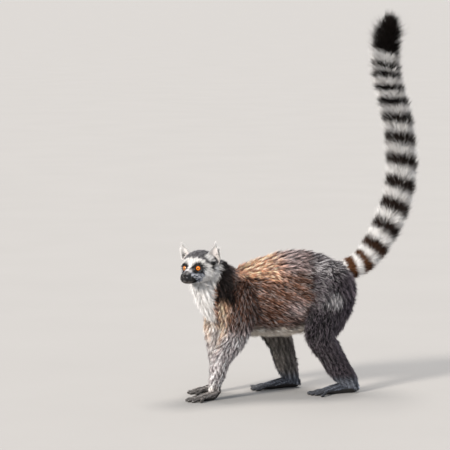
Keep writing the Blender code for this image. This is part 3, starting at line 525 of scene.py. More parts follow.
# Palm and sole: forward place, height, half width, half thickness.
HAND_ROWS = ((-0.002, 0.020, 0.0105, 0.0110), (0.006, 0.0105, 0.0112, 0.0102),
             (0.018, 0.0078, 0.0122, 0.0078), (0.030, 0.0062, 0.0120, 0.0064),
             (0.036, 0.0058, 0.0096, 0.0045))
FOOT_ROWS = ((-0.020, 0.0100, 0.0066, 0.0066), (-0.013, 0.0105, 0.0098, 0.0105),
             (0.002, 0.0125, 0.0108, 0.0120), (0.026, 0.0105, 0.0106, 0.0105),
             (0.048, 0.0078, 0.0125, 0.0080), (0.060, 0.0062, 0.0110, 0.0062))


def paw_frame(wrist, heading, inner):
    """Where a paw starts on the floor, with the ways ahead, to its inner side and up."""
    ahead = np.array([math.cos(heading), math.sin(heading), 0.0])
    sideways = np.array([-ahead[1], ahead[0], 0.0]) * inner
    return np.array([wrist[0], wrist[1], 0.0]), ahead, sideways, np.array([0.0, 0.0, 1.0])


def digit_line(wrist, heading, inner, digit, knuckle, shares):
    """Points along a digit at shares of its length, with its way and its thickness there."""
    start, ahead, sideways, up = paw_frame(wrist, heading, inner)
    across, splay, length = digit
    turn = math.radians(splay)
    way = ahead * math.cos(turn) + sideways * math.sin(turn)
    arch = np.interp(shares, (0, 0.25, 0.45, 0.70, 0.85, 1),
                     (0.0072, 0.0078, 0.0062, 0.0032, 0.0030, 0.0028))
    root = start + ahead * (knuckle - 0.004) + sideways * across
    line = root + (length + 0.003) * shares[:, None] * way + arch[:, None] * up
    thick = np.interp(shares, (0, 0.2, 0.42, 0.65, 0.86, 0.96, 1),
                      (1.18, 0.98, 1.06, 0.88, 1.06, 0.86, 0.45))
    return line, way, DIGIT_RADIUS * thick


def paw(name, limb, heading, inner, stations, digits, knuckle):
    """A palm, its digits with a swelling at each joint, and the end of the limb, fused."""
    wrist = np.array(limb[-1][:3])
    start, ahead, sideways, up = paw_frame(wrist, heading, inner)
    rows = smooth_rows(stations, 24)
    line = start + ahead * rows[:, :1] + up * rows[:, 1:2]
    grids = [round_line(line, rows[:, 2], rows[:, 3], rows[:, 3], 28, tuple(sideways))]
    stub = [*limb[-2:], (*(start + ahead * 0.002)[:2], 0.012, limb[-1][3], limb[-1][4], limb[-1][5])]
    grids.append(limb_grid(stub, 12, 24))
    shares = np.linspace(0, 1, 26)
    for digit in digits:
        middle, way, thick = digit_line(wrist, heading, inner, digit, knuckle, shares)
        cross = tuple(np.cross(up, way))
        grids.append(round_line(middle, thick, thick * 0.95, thick * 0.95, 16, cross))
    made = fused(joined_grids(name, grids), PAW_VOXEL, 3)
    spots = np.empty(len(made.data.vertices) * 3, np.float32)
    made.data.vertices.foreach_get("co", spots)
    spots[2::3] = np.maximum(spots[2::3], 0.0)
    made.data.vertices.foreach_set("co", spots)
    return made


paws = [
    paw("hand", LEFT_ARM, HAND_HEADING, 1, HAND_ROWS, HAND_DIGITS, HAND_KNUCKLE),
    paw("hand", RIGHT_ARM, HAND_HEADING, -1, HAND_ROWS, HAND_DIGITS, HAND_KNUCKLE),
    paw("foot", LEFT_LEG, FOOT_HEADING, 1, FOOT_ROWS, FOOT_DIGITS, FOOT_KNUCKLE),
    paw("foot", RIGHT_LEG, FOOT_HEADING, -1, FOOT_ROWS, FOOT_DIGITS, FOOT_KNUCKLE),
]


def union(base, others):
    """The first object with all the others fused to it."""
    group = bpy.data.collections.new("to fuse")
    bpy.context.scene.collection.children.link(group)
    for one in others:
        group.objects.link(one)
    fuse = base.modifiers.new("fuse", "BOOLEAN")
    fuse.operation = "UNION"
    fuse.solver = "MANIFOLD"
    fuse.operand_type = "COLLECTION"
    fuse.collection = group
    settled(base)
    for one in others:
        bpy.data.objects.remove(one)
    bpy.data.collections.remove(group)
    return base


skin = union(body, [head, *ears, *paws])
skin.name = skin.data.name = "skin"
skin.data.shade_smooth()
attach(skin, "root")
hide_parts(*[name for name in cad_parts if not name.startswith("eye_")])


# Markings.
# Skin and coat carry the same markings: a white face and bib, black eye patches and muzzle, a dark
# grey cap, a rufous back that turns grey over the rump, pale belly, and rings along the tail. The
# numbers in each formula are the places, in metres, between which one colour turns into the next.

# Some of these colours carry painted light and shade: the dark nape and shoulder hold painted shade of the
# head, the light withers, rump top and buff hold painted light where the lamps fall, and frost also serves
# for painted glints on the muzzle.
PALETTE = {name: linear(code) for name, code in {
    "white": "#f8f6f4", "cream": "#ece2d6", "black": "#121010", "slate": "#8e98ad",
    "foot": "#7c818c", "cap": "#434247", "nape": "#140b09", "shoulder": "#58392a",
    "withers": "#ebad8a", "back": "#8f7d7b", "flank": "#6b4a3a", "low flank": "#523426",
    "rump top": "#5f595c", "rump": "#221f23", "frost": "#e6e3e4", "thigh": "#141114",
    "shank": "#2b272c", "leg rear": "#776d75", "buff": "#e4bc9e", "forearm": "#c2b9ba",
    "hand": "#aaa39e", "leather": "#181514", "rust": "#6a452c", "coal": "#1a1513",
    "dark ring": "#2a201c", "white ring": "#faf8f6"}.items()}
# Dark rings: where each starts and ends along the tail's middle line.
DARK_RINGS = ((0.0100, 0.0306), (0.0450, 0.0646), (0.0826, 0.1071), (0.1300, 0.1562), (0.1797, 0.2058),
              (0.2297, 0.2556), (0.2800, 0.3056), (0.3296, 0.3539), (0.3750, 0.3960), (0.4160, 0.4312),
              (0.4495, 0.4612), (0.4780, 0.4888), (0.4980, 0.5072), (0.5290, 9.0))


def mixed(base, colour, share):
    """Rows of colour turned towards a named one by a share."""
    return base + (PALETTE[colour] - base) * np.clip(share, 0, 1)[:, None]


def ripple(points, size, seed):
    """Smooth noise between -1 and 1: the mean of sine waves of about one size in all directions."""
    draw = np.random.default_rng(seed)
    ways = unit(draw.normal(size=(9, 3))) * draw.uniform(0.6, 1.7, (9, 1)) * 2 * math.pi / size
    return np.sin(points @ ways.T + draw.uniform(0, 6.28, 9)).mean(1) * 2.2


# Edges of the face's markings in the head's own frame, as they show on the outside of the hair:
# the patch round an eye by its reach at angles round the eye, and how far forward the black of the
# muzzle starts and how far back the white of cheek and throat goes, by height.
PATCH_MIDDLE = (0.0175, 0.0025)
PATCH_TURN = (-180, -144, -103, -68, -2, 40, 77, 128, 175, 180)
PATCH_REACH = (0.0158, 0.0098, 0.0098, 0.0124, 0.0122, 0.0126, 0.0130, 0.0130, 0.0162, 0.0158)
MUZZLE_AT = (-0.030, -0.024, -0.011, -0.001)
MUZZLE_EDGE = (0.0300, 0.0324, 0.0530, 0.0490)
WHITE_AT = (-0.064, -0.047, -0.039, -0.033, -0.018, 0.001, 0.012)
WHITE_EDGE = (-0.0062, -0.0065, -0.0067, -0.0075, -0.0117, -0.0250, -0.0230)
# How far forward the back edge of the bib stands on the neck and chest, by height over the floor.
BIB_AT = (0.150, 0.163, 0.189, 0.214, 0.238, 0.262, 0.290)
BIB_EDGE = (-0.150, -0.154, -0.159, -0.163, -0.162, -0.152, -0.140)


def white_front(head_points):
    """1 on face, cheeks, throat and bib, 0 behind them, at places of the head's own frame."""
    f, up = head_points[:, 0], head_points[:, 2]
    wave = 0.0016 * ripple(head_points, 0.014, 4)
    return smoothstep(-0.0020, 0.0020, f - np.interp(up, WHITE_AT, WHITE_EDGE) + wave)


def head_colours(head_points):
    """Cap, patches round the eyes, muzzle and white face, at places of the head's own frame."""
    f, side, up = head_points.T
    off = np.abs(side)
    wave = 0.0010 * ripple(head_points, 0.012, 3)
    colour = np.tile(PALETTE["white"], (len(f), 1))
    # Behind the white front the head takes the nape's dark colour, which holds painted shade of the head.
    colour = mixed(colour, "nape", 1 - white_front(head_points))
    edge = 0.0262 - 0.0068 * (off / 0.0324) ** 1.5 + 0.0016 * ripple(head_points, 0.005, 10)
    foot = np.interp(f, (-0.04, -0.026, -0.010, 0.010, 0.020), (-0.030, 0.003, 0.009, 0.010, 0.012))
    cap = smoothstep(-0.0016, 0.0016, edge - f + wave) * smoothstep(-0.0020, 0.0020, up - foot + wave)
    colour = mixed(colour, "cap", cap)
    ear_root = np.hypot((f - 0.0030) / 0.0115, (up - 0.0225) / 0.0120)
    tufted = smoothstep(1.15, 0.75, ear_root + wave * 120) * smoothstep(0.021, 0.025, off)
    colour = mixed(colour, "white", 0.90 * tufted)
    under_ear = np.hypot((f - 0.0045) / 0.0072, (up - 0.0045) / 0.0112)
    colour = mixed(colour, "black", smoothstep(1.10, 0.80, under_ear + wave * 80) * (off > 0.02))
    rise = up - PATCH_MIDDLE[1]
    turn = np.degrees(np.arctan2(rise, off - PATCH_MIDDLE[0]))
    reach = np.hypot(rise, off - PATCH_MIDDLE[0]) / np.interp(turn, PATCH_TURN, PATCH_REACH)
    ahead = smoothstep(0.012, 0.018, f)
    mottle = ripple(head_points, 0.0040, 9)
    snout = smoothstep(0.0225, 0.0275, f + wave) * smoothstep(0.0045, -0.0035, up + 2 * wave)
    snout *= smoothstep(0.002, 0.006, off)
    colour = mixed(colour, "slate", snout * (0.85 + 0.30 * mottle))
    colour = mixed(colour, "black", snout * smoothstep(0.0, 0.8, mottle) * 0.85)
    colour = mixed(colour, "black", smoothstep(1.16, 0.80, reach + wave * 60 + 0.15 * mottle) * ahead)
    start = np.interp(up, MUZZLE_AT, MUZZLE_EDGE)
    colour = mixed(colour, "black", smoothstep(-0.0016, 0.0016, f - start + wave + 0.0005 * mottle))
    # A pale spot on each side of the nose's ridge: a painted highlight.
    bridge_glint = ((f - 0.0465) / 0.0060) ** 2 + ((off - 0.0062) / 0.0034) ** 2 + ((up + 0.001) / 0.005) ** 2
    colour = mixed(colour, "frost", 0.62 * np.exp(-bridge_glint))
    # Pale spots over the front of the muzzle: painted glints of wet gloss.
    glint_fleck = smoothstep(0.45, 0.95, ripple(head_points, 0.0036, 12)) * smoothstep(0.036, 0.044, f)
    colour = mixed(colour, "frost", 0.40 * glint_fleck)
    lip = smoothstep(-0.0215, -0.0235, up) * smoothstep(0.046, 0.052, f)
    return mixed(colour, "rust", 0.35 * lip)


def ring_share(along):
    """At lengths along the tail: 1 in a dark ring, 0 in a white one, with a narrow turn between."""
    dark = np.zeros(len(along))
    for start, end in DARK_RINGS:
        begun = smoothstep(start - 0.0008, start + 0.0008, along)
        dark += begun * smoothstep(end + 0.0008, end - 0.0008, along)
    return dark


def ring_colours(along):
    """The tail's rings: white and near-black, the first dark ones rusty, the last joint black."""
    dark = ring_share(along)
    deep = np.tile(PALETTE["dark ring"], (len(along), 1))
    deep = mixed(deep, "rust", smoothstep(0.13, 0.02, along) * 0.8)
    deep = mixed(deep, "coal", smoothstep(0.30, 0.46, along))
    return PALETTE["white ring"] + (deep - PALETTE["white ring"]) * dark[:, None]


# How far back the grey of the rump starts, by height over the floor.
RUMP_AT = (0.160, 0.203, 0.242, 0.269, 0.295)
RUMP_EDGE = (0.050, 0.045, 0.036, 0.045, 0.058)


def hip_patch(points):
    """Reach from the middle of the pale patch on each hip, 1 at its rim: the left one is further back."""
    x, y, z = points.T
    ahead = x - np.where(y < 0, 0.097, 0.066) - 0.3 * (z - 0.200)
    return np.hypot(ahead / 0.025, (z - 0.200 + 0.12 * ahead) / 0.016) + 9.0 * (np.abs(y) < 0.03)


def body_colours(points, out, leg):
    """Nape, back, flanks, rump, belly and limbs, from place, way out of the skin and share of leg."""
    x, y, z = points.T
    wave = ripple(points, 0.05, 5)
    fine = ripple(points, 0.018, 6)
    colour = np.tile(PALETTE["back"], (len(x), 1))
    colour = mixed(colour, "flank", smoothstep(0.276, 0.250, z + 0.006 * wave))
    colour = mixed(colour, "low flank", smoothstep(0.215, 0.165, z + 0.008 * fine))
    fold = np.hypot((x - 0.016) / 0.032, (z - 0.182) / 0.032)
    colour = mixed(colour, "back", 0.75 * smoothstep(1.2, 0.4, fold + 0.2 * fine))
    # The top of the back at the withers is painted light rufous: in part its own colour, in part painted
    # light falling on it from above.
    high = smoothstep(0.244, 0.264, z + 0.10 * (x + 0.09) + 0.004 * fine)
    high *= smoothstep(-0.112, -0.096, x) * smoothstep(0.010, -0.045, x)
    colour = mixed(colour, "withers", 0.95 * high)
    hind = smoothstep(-0.010, 0.022, x - np.interp(z, RUMP_AT, RUMP_EDGE) + 0.006 * fine)
    colour = mixed(colour, "rump", hind)
    # The top of the rump is painted a lighter grey: in part its own colour, in part painted light from
    # above.
    colour = mixed(colour, "rump top", hind * smoothstep(0.252, 0.280, z + 0.004 * fine))
    behind = smoothstep(0.00, 0.55, out[:, 0]) * smoothstep(0.275, 0.250, z)
    colour = mixed(colour, "leg rear", 0.85 * hind * behind)
    # Shoulder and nape are painted dark: in part their own dark brown-grey, in part painted shade of the
    # head over them.
    shoulder = smoothstep(-0.066, -0.092, x + 0.006 * wave) * smoothstep(0.262, 0.246, z)
    shoulder *= smoothstep(0.110, 0.140, z)
    colour = mixed(colour, "shoulder", shoulder)
    nape = smoothstep(-0.106, -0.128, x - 0.10 * (z - 0.24) + 0.005 * fine) * smoothstep(0.192, 0.212, z)
    colour = mixed(colour, "nape", nape)
    arm = smoothstep(0.168, 0.120, z + 0.008 * wave) * smoothstep(-0.070, -0.092, x)
    colour = mixed(colour, "forearm", arm)
    # The fronts of the upper arms are painted buff: in part their own colour, in part painted light on the
    # side that faces the low front lamp.
    front = smoothstep(-0.30, -0.90, out[:, 0]) * smoothstep(-0.095, -0.112, x)
    colour = mixed(colour, "buff", 0.70 * front * smoothstep(0.215, 0.195, z) * smoothstep(0.09, 0.13, z))
    leg = leg * smoothstep(0.212, 0.178, z + 0.003 * fine)
    colour = mixed(colour, "shank", leg)
    shin = smoothstep(0.40, -0.30, out[:, 0] - 0.25 * wave) * smoothstep(0.04, 0.10, z)
    colour = mixed(colour, "thigh", shin * leg)
    colour = mixed(colour, "leg rear", 0.85 * leg * smoothstep(0.05, 0.75, out[:, 0]))
    colour = mixed(colour, "frost", 0.55 * smoothstep(1.10, 0.30, hip_patch(points) + 0.30 * fine))
    under = smoothstep(-0.45, -0.80, out[:, 2]) * smoothstep(0.175, 0.150, z) * smoothstep(0.100, 0.112, z)
    under = under * smoothstep(-0.13, -0.10, x) * smoothstep(0.12, 0.08, x)
    inner = smoothstep(0.15, 0.7, -out[:, 1] * np.sign(y)) * (z < 0.20) * (np.abs(y) > 0.015)
    colour = mixed(colour, "cream", np.maximum(under, 0.30 * inner))
    edge = np.interp(z, BIB_AT, BIB_EDGE) - 0.0020 * fine
    bib = smoothstep(0.0025, -0.0025, x - edge) * smoothstep(0.146, 0.158, z)
    reach = np.interp(z, (0.150, 0.165, 0.200), (0.010, 0.020, 0.060))
    bib *= smoothstep(0.004, -0.004, np.abs(y + 0.006) - reach)
    fringe = smoothstep(0.010, 0.002, x - edge) * smoothstep(0.160, 0.180, z) * smoothstep(0.250, 0.225, z)
    colour = mixed(colour, "withers", 0.45 * fringe * smoothstep(-0.3, -0.8, out[:, 1]) * (1 - bib))
    colour = mixed(colour, "white", bib)
    low = smoothstep(0.045, 0.018, z)
    colour = mixed(colour, "hand", low * (x < -0.06))
    return mixed(colour, "foot", low * (x > -0.06))


def grizzle(points, leg):
    """Share of pale-tipped hair: most over the rump, some on back and arms, none on white or nape."""
    x, z = points[:, 0], points[:, 2]
    hind = smoothstep(-0.010, 0.030, x - np.interp(z, RUMP_AT, RUMP_EDGE))
    share = 0.30 + 0.08 * hind + 0.72 * hind * smoothstep(0.235, 0.265, z)
    share -= 0.42 * smoothstep(0.085, 0.120, x)
    share = share * (1 - 0.7 * leg * smoothstep(0.200, 0.175, z))
    share += 0.15 * smoothstep(0.190, 0.150, z) * smoothstep(-0.070, -0.092, x)
    share *= 1 - 0.9 * smoothstep(-0.106, -0.128, x) * smoothstep(0.192, 0.212, z)
    share += 0.4 * smoothstep(1.3, 0.6, hip_patch(points))
    return np.clip(share, 0, 1)


# Courses of the coat.
# Hair lies back over the trunk, down the limbs and out along the tail. Each course is a middle
# line with the radius of the skin round it and the depth of the coat, and the hair follows it.

COURSE_POINTS = 60


def course(rows, back=False):
    """Line, radius, depth of coat and lie of the hair along a limb's rows."""
    flat = smooth_rows(rows, COURSE_POINTS)
    lie = unit(np.gradient(flat[:, :3], axis=0)) * (-1 if back else 1)
    return flat[:, :3], 0.5 * (flat[:, 3] + flat[:, 4]) - flat[:, 5], flat[:, 5], lie


def paw_course(limb, heading, length):
    """The line of a palm or sole, where the hair shortens towards the digits."""
    start, ahead, _, up = paw_frame(np.array(limb[-1][:3]), heading, 1)
    share = np.linspace(0, 1, COURSE_POINTS)[:, None]
    line = start + ahead * share * length + up * (0.011 - 0.006 * share)
    depth = np.interp(share[:, 0], (0, 0.35, 0.7, 1), (0.0026, 0.0018, 0.0011, 0.0008))
    return line, np.full(COURSE_POINTS, 0.010), depth, np.tile(ahead, (COURSE_POINTS, 1))


def trunk_course():
    """The middle line of the trunk, where the hair lies straight back."""
    x, wide, top, bottom = smooth_rows(TORSO, COURSE_POINTS).T
    line = np.stack([x, np.zeros(COURSE_POINTS), bottom + TRUNK_MIDDLE * (top - bottom)], 1)
    radius = np.maximum(0.5 * (wide + 0.5 * (top - bottom)) - TORSO_COAT, 0.012)
    backward = np.tile([1.0, 0.0, 0.0], (COURSE_POINTS, 1))
    return line, radius, np.full(COURSE_POINTS, TORSO_COAT), backward


def head_course():
    """The middle line of the head, where the hair lies back from the nose."""
    x, wide, top, bottom = smooth_rows(HEAD, COURSE_POINTS).T
    line = from_head(np.stack([x, np.zeros(COURSE_POINTS), 0.5 * (top + bottom)], 1))
    depth = np.interp(x, HEAD_COAT_AT, CHEEK_COAT)
    backward = from_head(np.array([[-1.0, 0, 0]])) - from_head(np.zeros((1, 3)))
    radius = np.maximum(0.5 * (wide + 0.5 * (top - bottom)) - depth, 0.002)
    return line, radius, depth, np.tile(backward, (COURSE_POINTS, 1))


def tail_course():
    """The middle line of the tail, where the hair lies out towards the tip."""
    points, length = tail_line()
    stops = np.linspace(0, length[-1], COURSE_POINTS)
    line = np.stack([np.interp(stops, length, points[:, k]) for k in range(3)], 1)
    radius = np.interp(stops / length[-1], np.linspace(0, 1, len(TAIL_SKIN)), TAIL_SKIN)
    return line, radius, np.full(COURSE_POINTS, 0.012), unit(np.gradient(line, axis=0))


COURSES = {
    "trunk": trunk_course(), "neck": course(NECK, back=True), "throat": course(THROAT),
    "head": head_course(), "tail": tail_course(),
    "left arm": course(LEFT_ARM), "right arm": course(RIGHT_ARM),
    "left hand": paw_course(LEFT_ARM, HAND_HEADING, 0.070),
    "right hand": paw_course(RIGHT_ARM, HAND_HEADING, 0.070),
    "left leg": course(LEFT_LEG), "right leg": course(RIGHT_LEG),
    "left foot": paw_course(LEFT_LEG, FOOT_HEADING, 0.098),
    "right foot": paw_course(RIGHT_LEG, FOOT_HEADING, 0.098),
}
COURSE_NAMES = list(COURSES)
# How many layers of tufts lie over one another on each course, and how wide they are there.
COVER = {"trunk": 9.0, "neck": 9.0, "throat": 9.0, "head": 5.2, "left hand": 3.2, "right hand": 3.2,
         "left foot": 3.2, "right foot": 3.2}
WIDTH = {"trunk": 0.9, "neck": 0.9, "throat": 0.75, "head": 0.56, "left hand": 1.2, "right hand": 1.2,
         "left foot": 1.2, "right foot": 1.2}
TRUNK_COURSE, NECK_COURSE, HEAD_COURSE, TAIL_COURSE = (
    COURSE_NAMES.index(name) for name in ("trunk", "neck", "head", "tail"))
# Where a tuft shows, in depths of the coat: outwards from its root, and along its lie.
SHOWN_OUT, SHOWN_ALONG = 0.85, 0.75


def nearness(points):
    """For each course: distance in radii, and the place along it, of the nearest point of its line."""
    reach = np.empty((len(COURSES), len(points)), np.float32)
    place = np.empty((len(COURSES), len(points)), np.int32)
    for number, (line, radius, _, _) in enumerate(COURSES.values()):
        gap = (np.sum(points**2, 1)[:, None] - 2 * points @ line.T + np.sum(line**2, 1)[None, :])
        share = np.sqrt(np.maximum(gap, 0)) / radius[None, :]
        place[number] = share.argmin(1)
        reach[number] = share.min(1)
    return reach, place


def leg_share(points):
    """1 inside the outline of a leg as it shows from its own side of the body, 0 outside it."""
    share = np.zeros(len(points))
    for rows, side in ((LEFT_LEG, -1), (RIGHT_LEG, 1)):
        flat = smooth_rows(rows, 40)
        gap = (points[:, :1] - flat[:, 0]) ** 2 + (points[:, 2:] - flat[:, 2]) ** 2
        reach = np.sqrt(gap / flat[:, 4] ** 2).min(1)
        share += smoothstep(1.10, 0.95, reach) * smoothstep(0.008, 0.020, points[:, 1] * side)
    return share


def coat_colours(spots, out, headed, tailed, leg, along):
    """Colours at spots near the skin: the trunk's, the head's and the tail's by their shares."""
    tint = body_colours(spots, out, leg)
    tint = tint + (head_colours(to_head(spots)) - tint) * np.clip(headed * 1.25, 0, 1)[:, None]
    return tint + (ring_colours(along) - tint) * (tailed * smoothstep(0.006, 0.014, along))[:, None]


def coat_field(points, out):
    """Lie of the hair, depth of the coat, the colour, the course, and what is bare, at each point."""
    reach, place = nearness(points)
    weight = np.exp(-5 * (reach**2 - (reach.min(0) ** 2)[None, :]))
    weight /= weight.sum(0)
    depth, cover, wide = np.zeros((3, len(points)))
    lie = np.zeros((len(points), 3))
    for number, (name, (_, _, deep, way)) in enumerate(COURSES.items()):
        depth += weight[number] * deep[place[number]]
        cover += weight[number] * COVER.get(name, 5.0)
        wide += weight[number] * WIDTH.get(name, 1.15)
        lie += weight[number][:, None] * way[place[number]]
    own = to_head(points)
    on_head = weight[HEAD_COURSE]
    # On the head the hair sweeps back, outward from the eyes and down over the cheeks.
    turn = np.array(HEAD_FRAME)[:3, :3]
    sweep = np.zeros((len(points), 3))
    for side in (1, -1):
        from_eye = own - np.array(EYE_PLACE) * (1, side, 1)
        far = np.linalg.norm(from_eye, axis=1)
        sweep += from_eye / far[:, None] * np.exp(-(far / 0.014) ** 2)[:, None] * 1.6
    cheek = smoothstep(0.010, -0.020, own[:, 2]) * smoothstep(0.045, 0.020, own[:, 0])
    sweep[:, 2] -= 0.8 * cheek
    lie += (sweep @ turn.T) * on_head[:, None]
    # Over the flanks and the neck it also slopes down.
    lie[:, 2] -= 0.45 * weight[TRUNK_COURSE] * (1 - out[:, 2] ** 2)
    lie[:, 2] -= 0.3 * weight[NECK_COURSE]
    lie -= out * np.sum(lie * out, 1)[:, None]
    over = np.interp(own[:, 0], HEAD_COAT_AT, CROWN_COAT)
    beside = np.interp(own[:, 0], HEAD_COAT_AT, CHEEK_COAT)
    sheer = np.arctan2(own[:, 2] - 0.002, np.abs(own[:, 1]))
    head_depth = over + (beside - over) * smoothstep(0.85, -0.1, np.sin(sheer))
    depth += on_head * (head_depth - COURSES["head"][2][place[HEAD_COURSE]])
    line = COURSES["tail"][0]
    step = np.linalg.norm(np.diff(line, axis=0), axis=1)
    along = np.concatenate([[0], np.cumsum(step)])[place[TAIL_COURSE]]

    # A tuft shows beyond its root, outwards and along its lie.
    shown = points + out * (SHOWN_OUT * depth)[:, None] + unit(lie) * (SHOWN_ALONG * depth)[:, None]
    leg = leg_share(shown)
    colour = coat_colours(points, out, on_head, weight[TAIL_COURSE], leg_share(points), along)
    eye_share = np.minimum(*(np.where(far < LID_REACH, share, 3.0)
                             for share, far in (eye_opening(own, side) for side in (1, -1))))
    nose = np.linalg.norm((own - np.array(NOSE_PAD[0])) / np.array(NOSE_PAD[1]), axis=1)
    rise, lips = mouth_line(own)
    bare = (eye_share < 1.04) | (nose < 1.12) | ((np.abs(rise) < 0.0011) & (lips > 0.5) & (on_head > 0.6))
    sole = (points[:, 2] < 0.020) & (out[:, 2] < -0.15)
    bare |= sole | (points[:, 2] < 0.0022)
    proud = reach[HEAD_COURSE] > np.interp(own[:, 2], (-0.004, 0.012), (1.34, 1.16))
    ear = (on_head > 0.4) & (own[:, 2] > -0.004) & proud & (np.abs(own[:, 1]) > 0.018)
    colour = mixed(colour, "leather", np.maximum(bare * 1.0, smoothstep(0.016, 0.009, points[:, 2]) * 0.6))
    pale = grizzle(shown, leg) * (1 - np.clip(on_head * 1.25, 0, 1)) + 0.4 * on_head * (own[:, 2] > 0.015)
    return {"lie": lie, "depth": depth, "cover": cover, "width": wide, "colour": colour, "grizzle": pale,
            "course": reach.argmin(0), "bare": bare | ear, "tail": weight[TAIL_COURSE], "head": on_head,
            "leg": leg, "along": along, "ear": ear}


def mesh_arrays(thing):
    """Points in the animal's frame, ways out, and triangles of an object."""
    mesh = thing.data
    mesh.calc_loop_triangles()
    points = np.empty(len(mesh.vertices) * 3, np.float32)
    mesh.vertices.foreach_get("co", points)
    out = np.empty(len(mesh.vertices) * 3, np.float32)
    mesh.vertices.foreach_get("normal", out)
    triangles = np.empty(len(mesh.loop_triangles) * 3, np.int32)
    mesh.loop_triangles.foreach_get("vertices", triangles)
    points = points.reshape(-1, 3).astype(float) - SHIFT
    return points, out.reshape(-1, 3).astype(float), triangles.reshape(-1, 3)


def paint(thing, colour, wet=0.0):
    """Stores a colour at each point for the material to read, and in its fourth value how wet it is."""
    layer = thing.data.color_attributes.new("coat", "FLOAT_COLOR", "POINT")
    four = np.concatenate([colour, np.broadcast_to(wet, len(colour))[:, None]], 1)
    layer.data.foreach_set("color", four.astype(np.float32).ravel())


PEBBLE_SCALE, CREASE_SCALE = 1600.0, 420.0  # pebbles about 0.6 mm across, creases 2.4 mm apart


def tanned_skin():
    """Tanned skin, dark and leathery where it is bare, with a fine pebbled grain."""
    made, tree, shader = new_material("tanned_leathery_skin")
    colour = node(tree, "ShaderNodeAttribute", attribute_name="coat")
    where = node(tree, "ShaderNodeTexCoord")
    grain = node(tree, "ShaderNodeTexVoronoi",
                 {"Vector": where.outputs["Object"], "Scale": PEBBLE_SCALE})
    crease = node(tree, "ShaderNodeTexNoise",
                  {"Vector": where.outputs["Object"], "Scale": CREASE_SCALE, "Detail": 3.0})
    high = node(tree, "ShaderNodeMath", {0: grain.outputs["Distance"], 1: crease.outputs["Fac"]},
                operation="ADD")
    bump = node(tree, "ShaderNodeBump", {"Height": high.outputs[0], "Strength": 0.25, "Distance": 0.0006})
    tree.links.new(colour.outputs["Color"], shader.inputs["Base Color"])
    tree.links.new(bump.outputs["Normal"], shader.inputs["Normal"])
    rough = node(tree, "ShaderNodeMapRange",
                 {"Value": crease.outputs["Fac"], "To Min": 0.45, "To Max": 0.62})
    moist = node(tree, "ShaderNodeMath", {0: colour.outputs["Alpha"], 1: -0.26, 2: rough.outputs["Result"]},
                 operation="MULTIPLY_ADD")
    tree.links.new(moist.outputs[0], shader.inputs["Roughness"])
    return made


points, out, triangles = mesh_arrays(skin)
field = coat_field(points, out)
under_hair = 0.42 + 0.40 * smoothstep(0.15, 0.65, field["colour"].mean(1))
hide = field["colour"] * np.where(field["bare"] & ~field["ear"], 1.0, under_hair)[:, None]
hide[field["ear"]] = linear("#e4dedb")
nose = np.linalg.norm((to_head(points) - np.array(NOSE_PAD[0])) / np.array(NOSE_PAD[1]), axis=1)
muzzle = smoothstep(0.044, 0.052, to_head(points)[:, 0]) * field["head"]
paint(skin, hide, np.maximum(smoothstep(1.35, 1.05, nose), 0.45 * muzzle))
skin.data.materials.clear()
skin.data.materials.append(tanned_skin())


# Coat of the head, trunk and limbs.
# Each tuft is a thin flat tapered blade, rooted in the skin, that rises and then bends over to lie
# along the body. Neighbours lean together into small locks, pale at the tip and painted dark at the
# root, in part as shade deep in the coat, with painted light and shade on the sides of the locks.

COAT_SEED = 11
STEEP, FLAT = math.radians(50), math.radians(17)
# Height that a tuft of length one reaches over the skin.
TUFT_RISE = 0.53
# Width of a lock where the coat is up to each of the depths, and where it is deeper.
LOCK_DEPTHS, LOCK_SIZES = (0.0022, 0.0045, 0.0080), (0.0018, 0.0030, 0.0044, 0.0062)
# How deep a tuft is rooted in the skin, and the most triangles that one piece of the coat gets.
ROOT_DEPTH = 0.0012
PIECE_TRIANGLES = 195000


def tuft_width(length):
    """Short hair is fine, long hair stands together in wider tufts."""
    return 0.00026 + 0.040 * length


def scattered(cells, seed):
    """A number from 0 to 1 for each whole-numbered cell, the same on every run."""
    mix = cells[:, 0] * 73856093 ^ cells[:, 1] * 19349663 ^ cells[:, 2] * 83492791 ^ (seed * 2654435761)
    mix = (mix ^ (mix >> 13)) * 1274126177
    mix = (mix ^ (mix >> 16)) & 0xFFFFFF
    return mix / 0xFFFFFF


def blades(roots, out, lie, length, width, steep, flat, roll):
    """Five points a tuft: two at the root, two halfway and the tip, along a line that bends over."""
    rise = np.stack([steep, flat], 1)
    step = 0.5 * length[:, None, None] * (np.cos(rise)[..., None] * lie[:, None]
                                          + np.sin(rise)[..., None] * out[:, None])
    base = roots - out * ROOT_DEPTH
    middle = base + step[:, 0]
    tip = middle + step[:, 1]
    across = np.cross(lie, out)
    across = across * np.cos(roll)[:, None] + out * np.sin(roll)[:, None]
    half = 0.5 * width[:, None] * across
    return np.stack([base - 0.7 * half, base + 0.7 * half, middle - half, middle + half, tip], 1)


BLADE_FACES = np.array([[0, 1, 3], [0, 3, 2], [2, 3, 4]])
BLADE_PATCH = np.array([[-0.0012, -0.0015], [0.0012, -0.0015], [-0.0014, 0.0], [0.0014, 0.0],
                        [0.0, 0.0015]])


SPECK_SCALE = 700.0  # specks about 1.4 mm across, coarser than single hairs so that they show


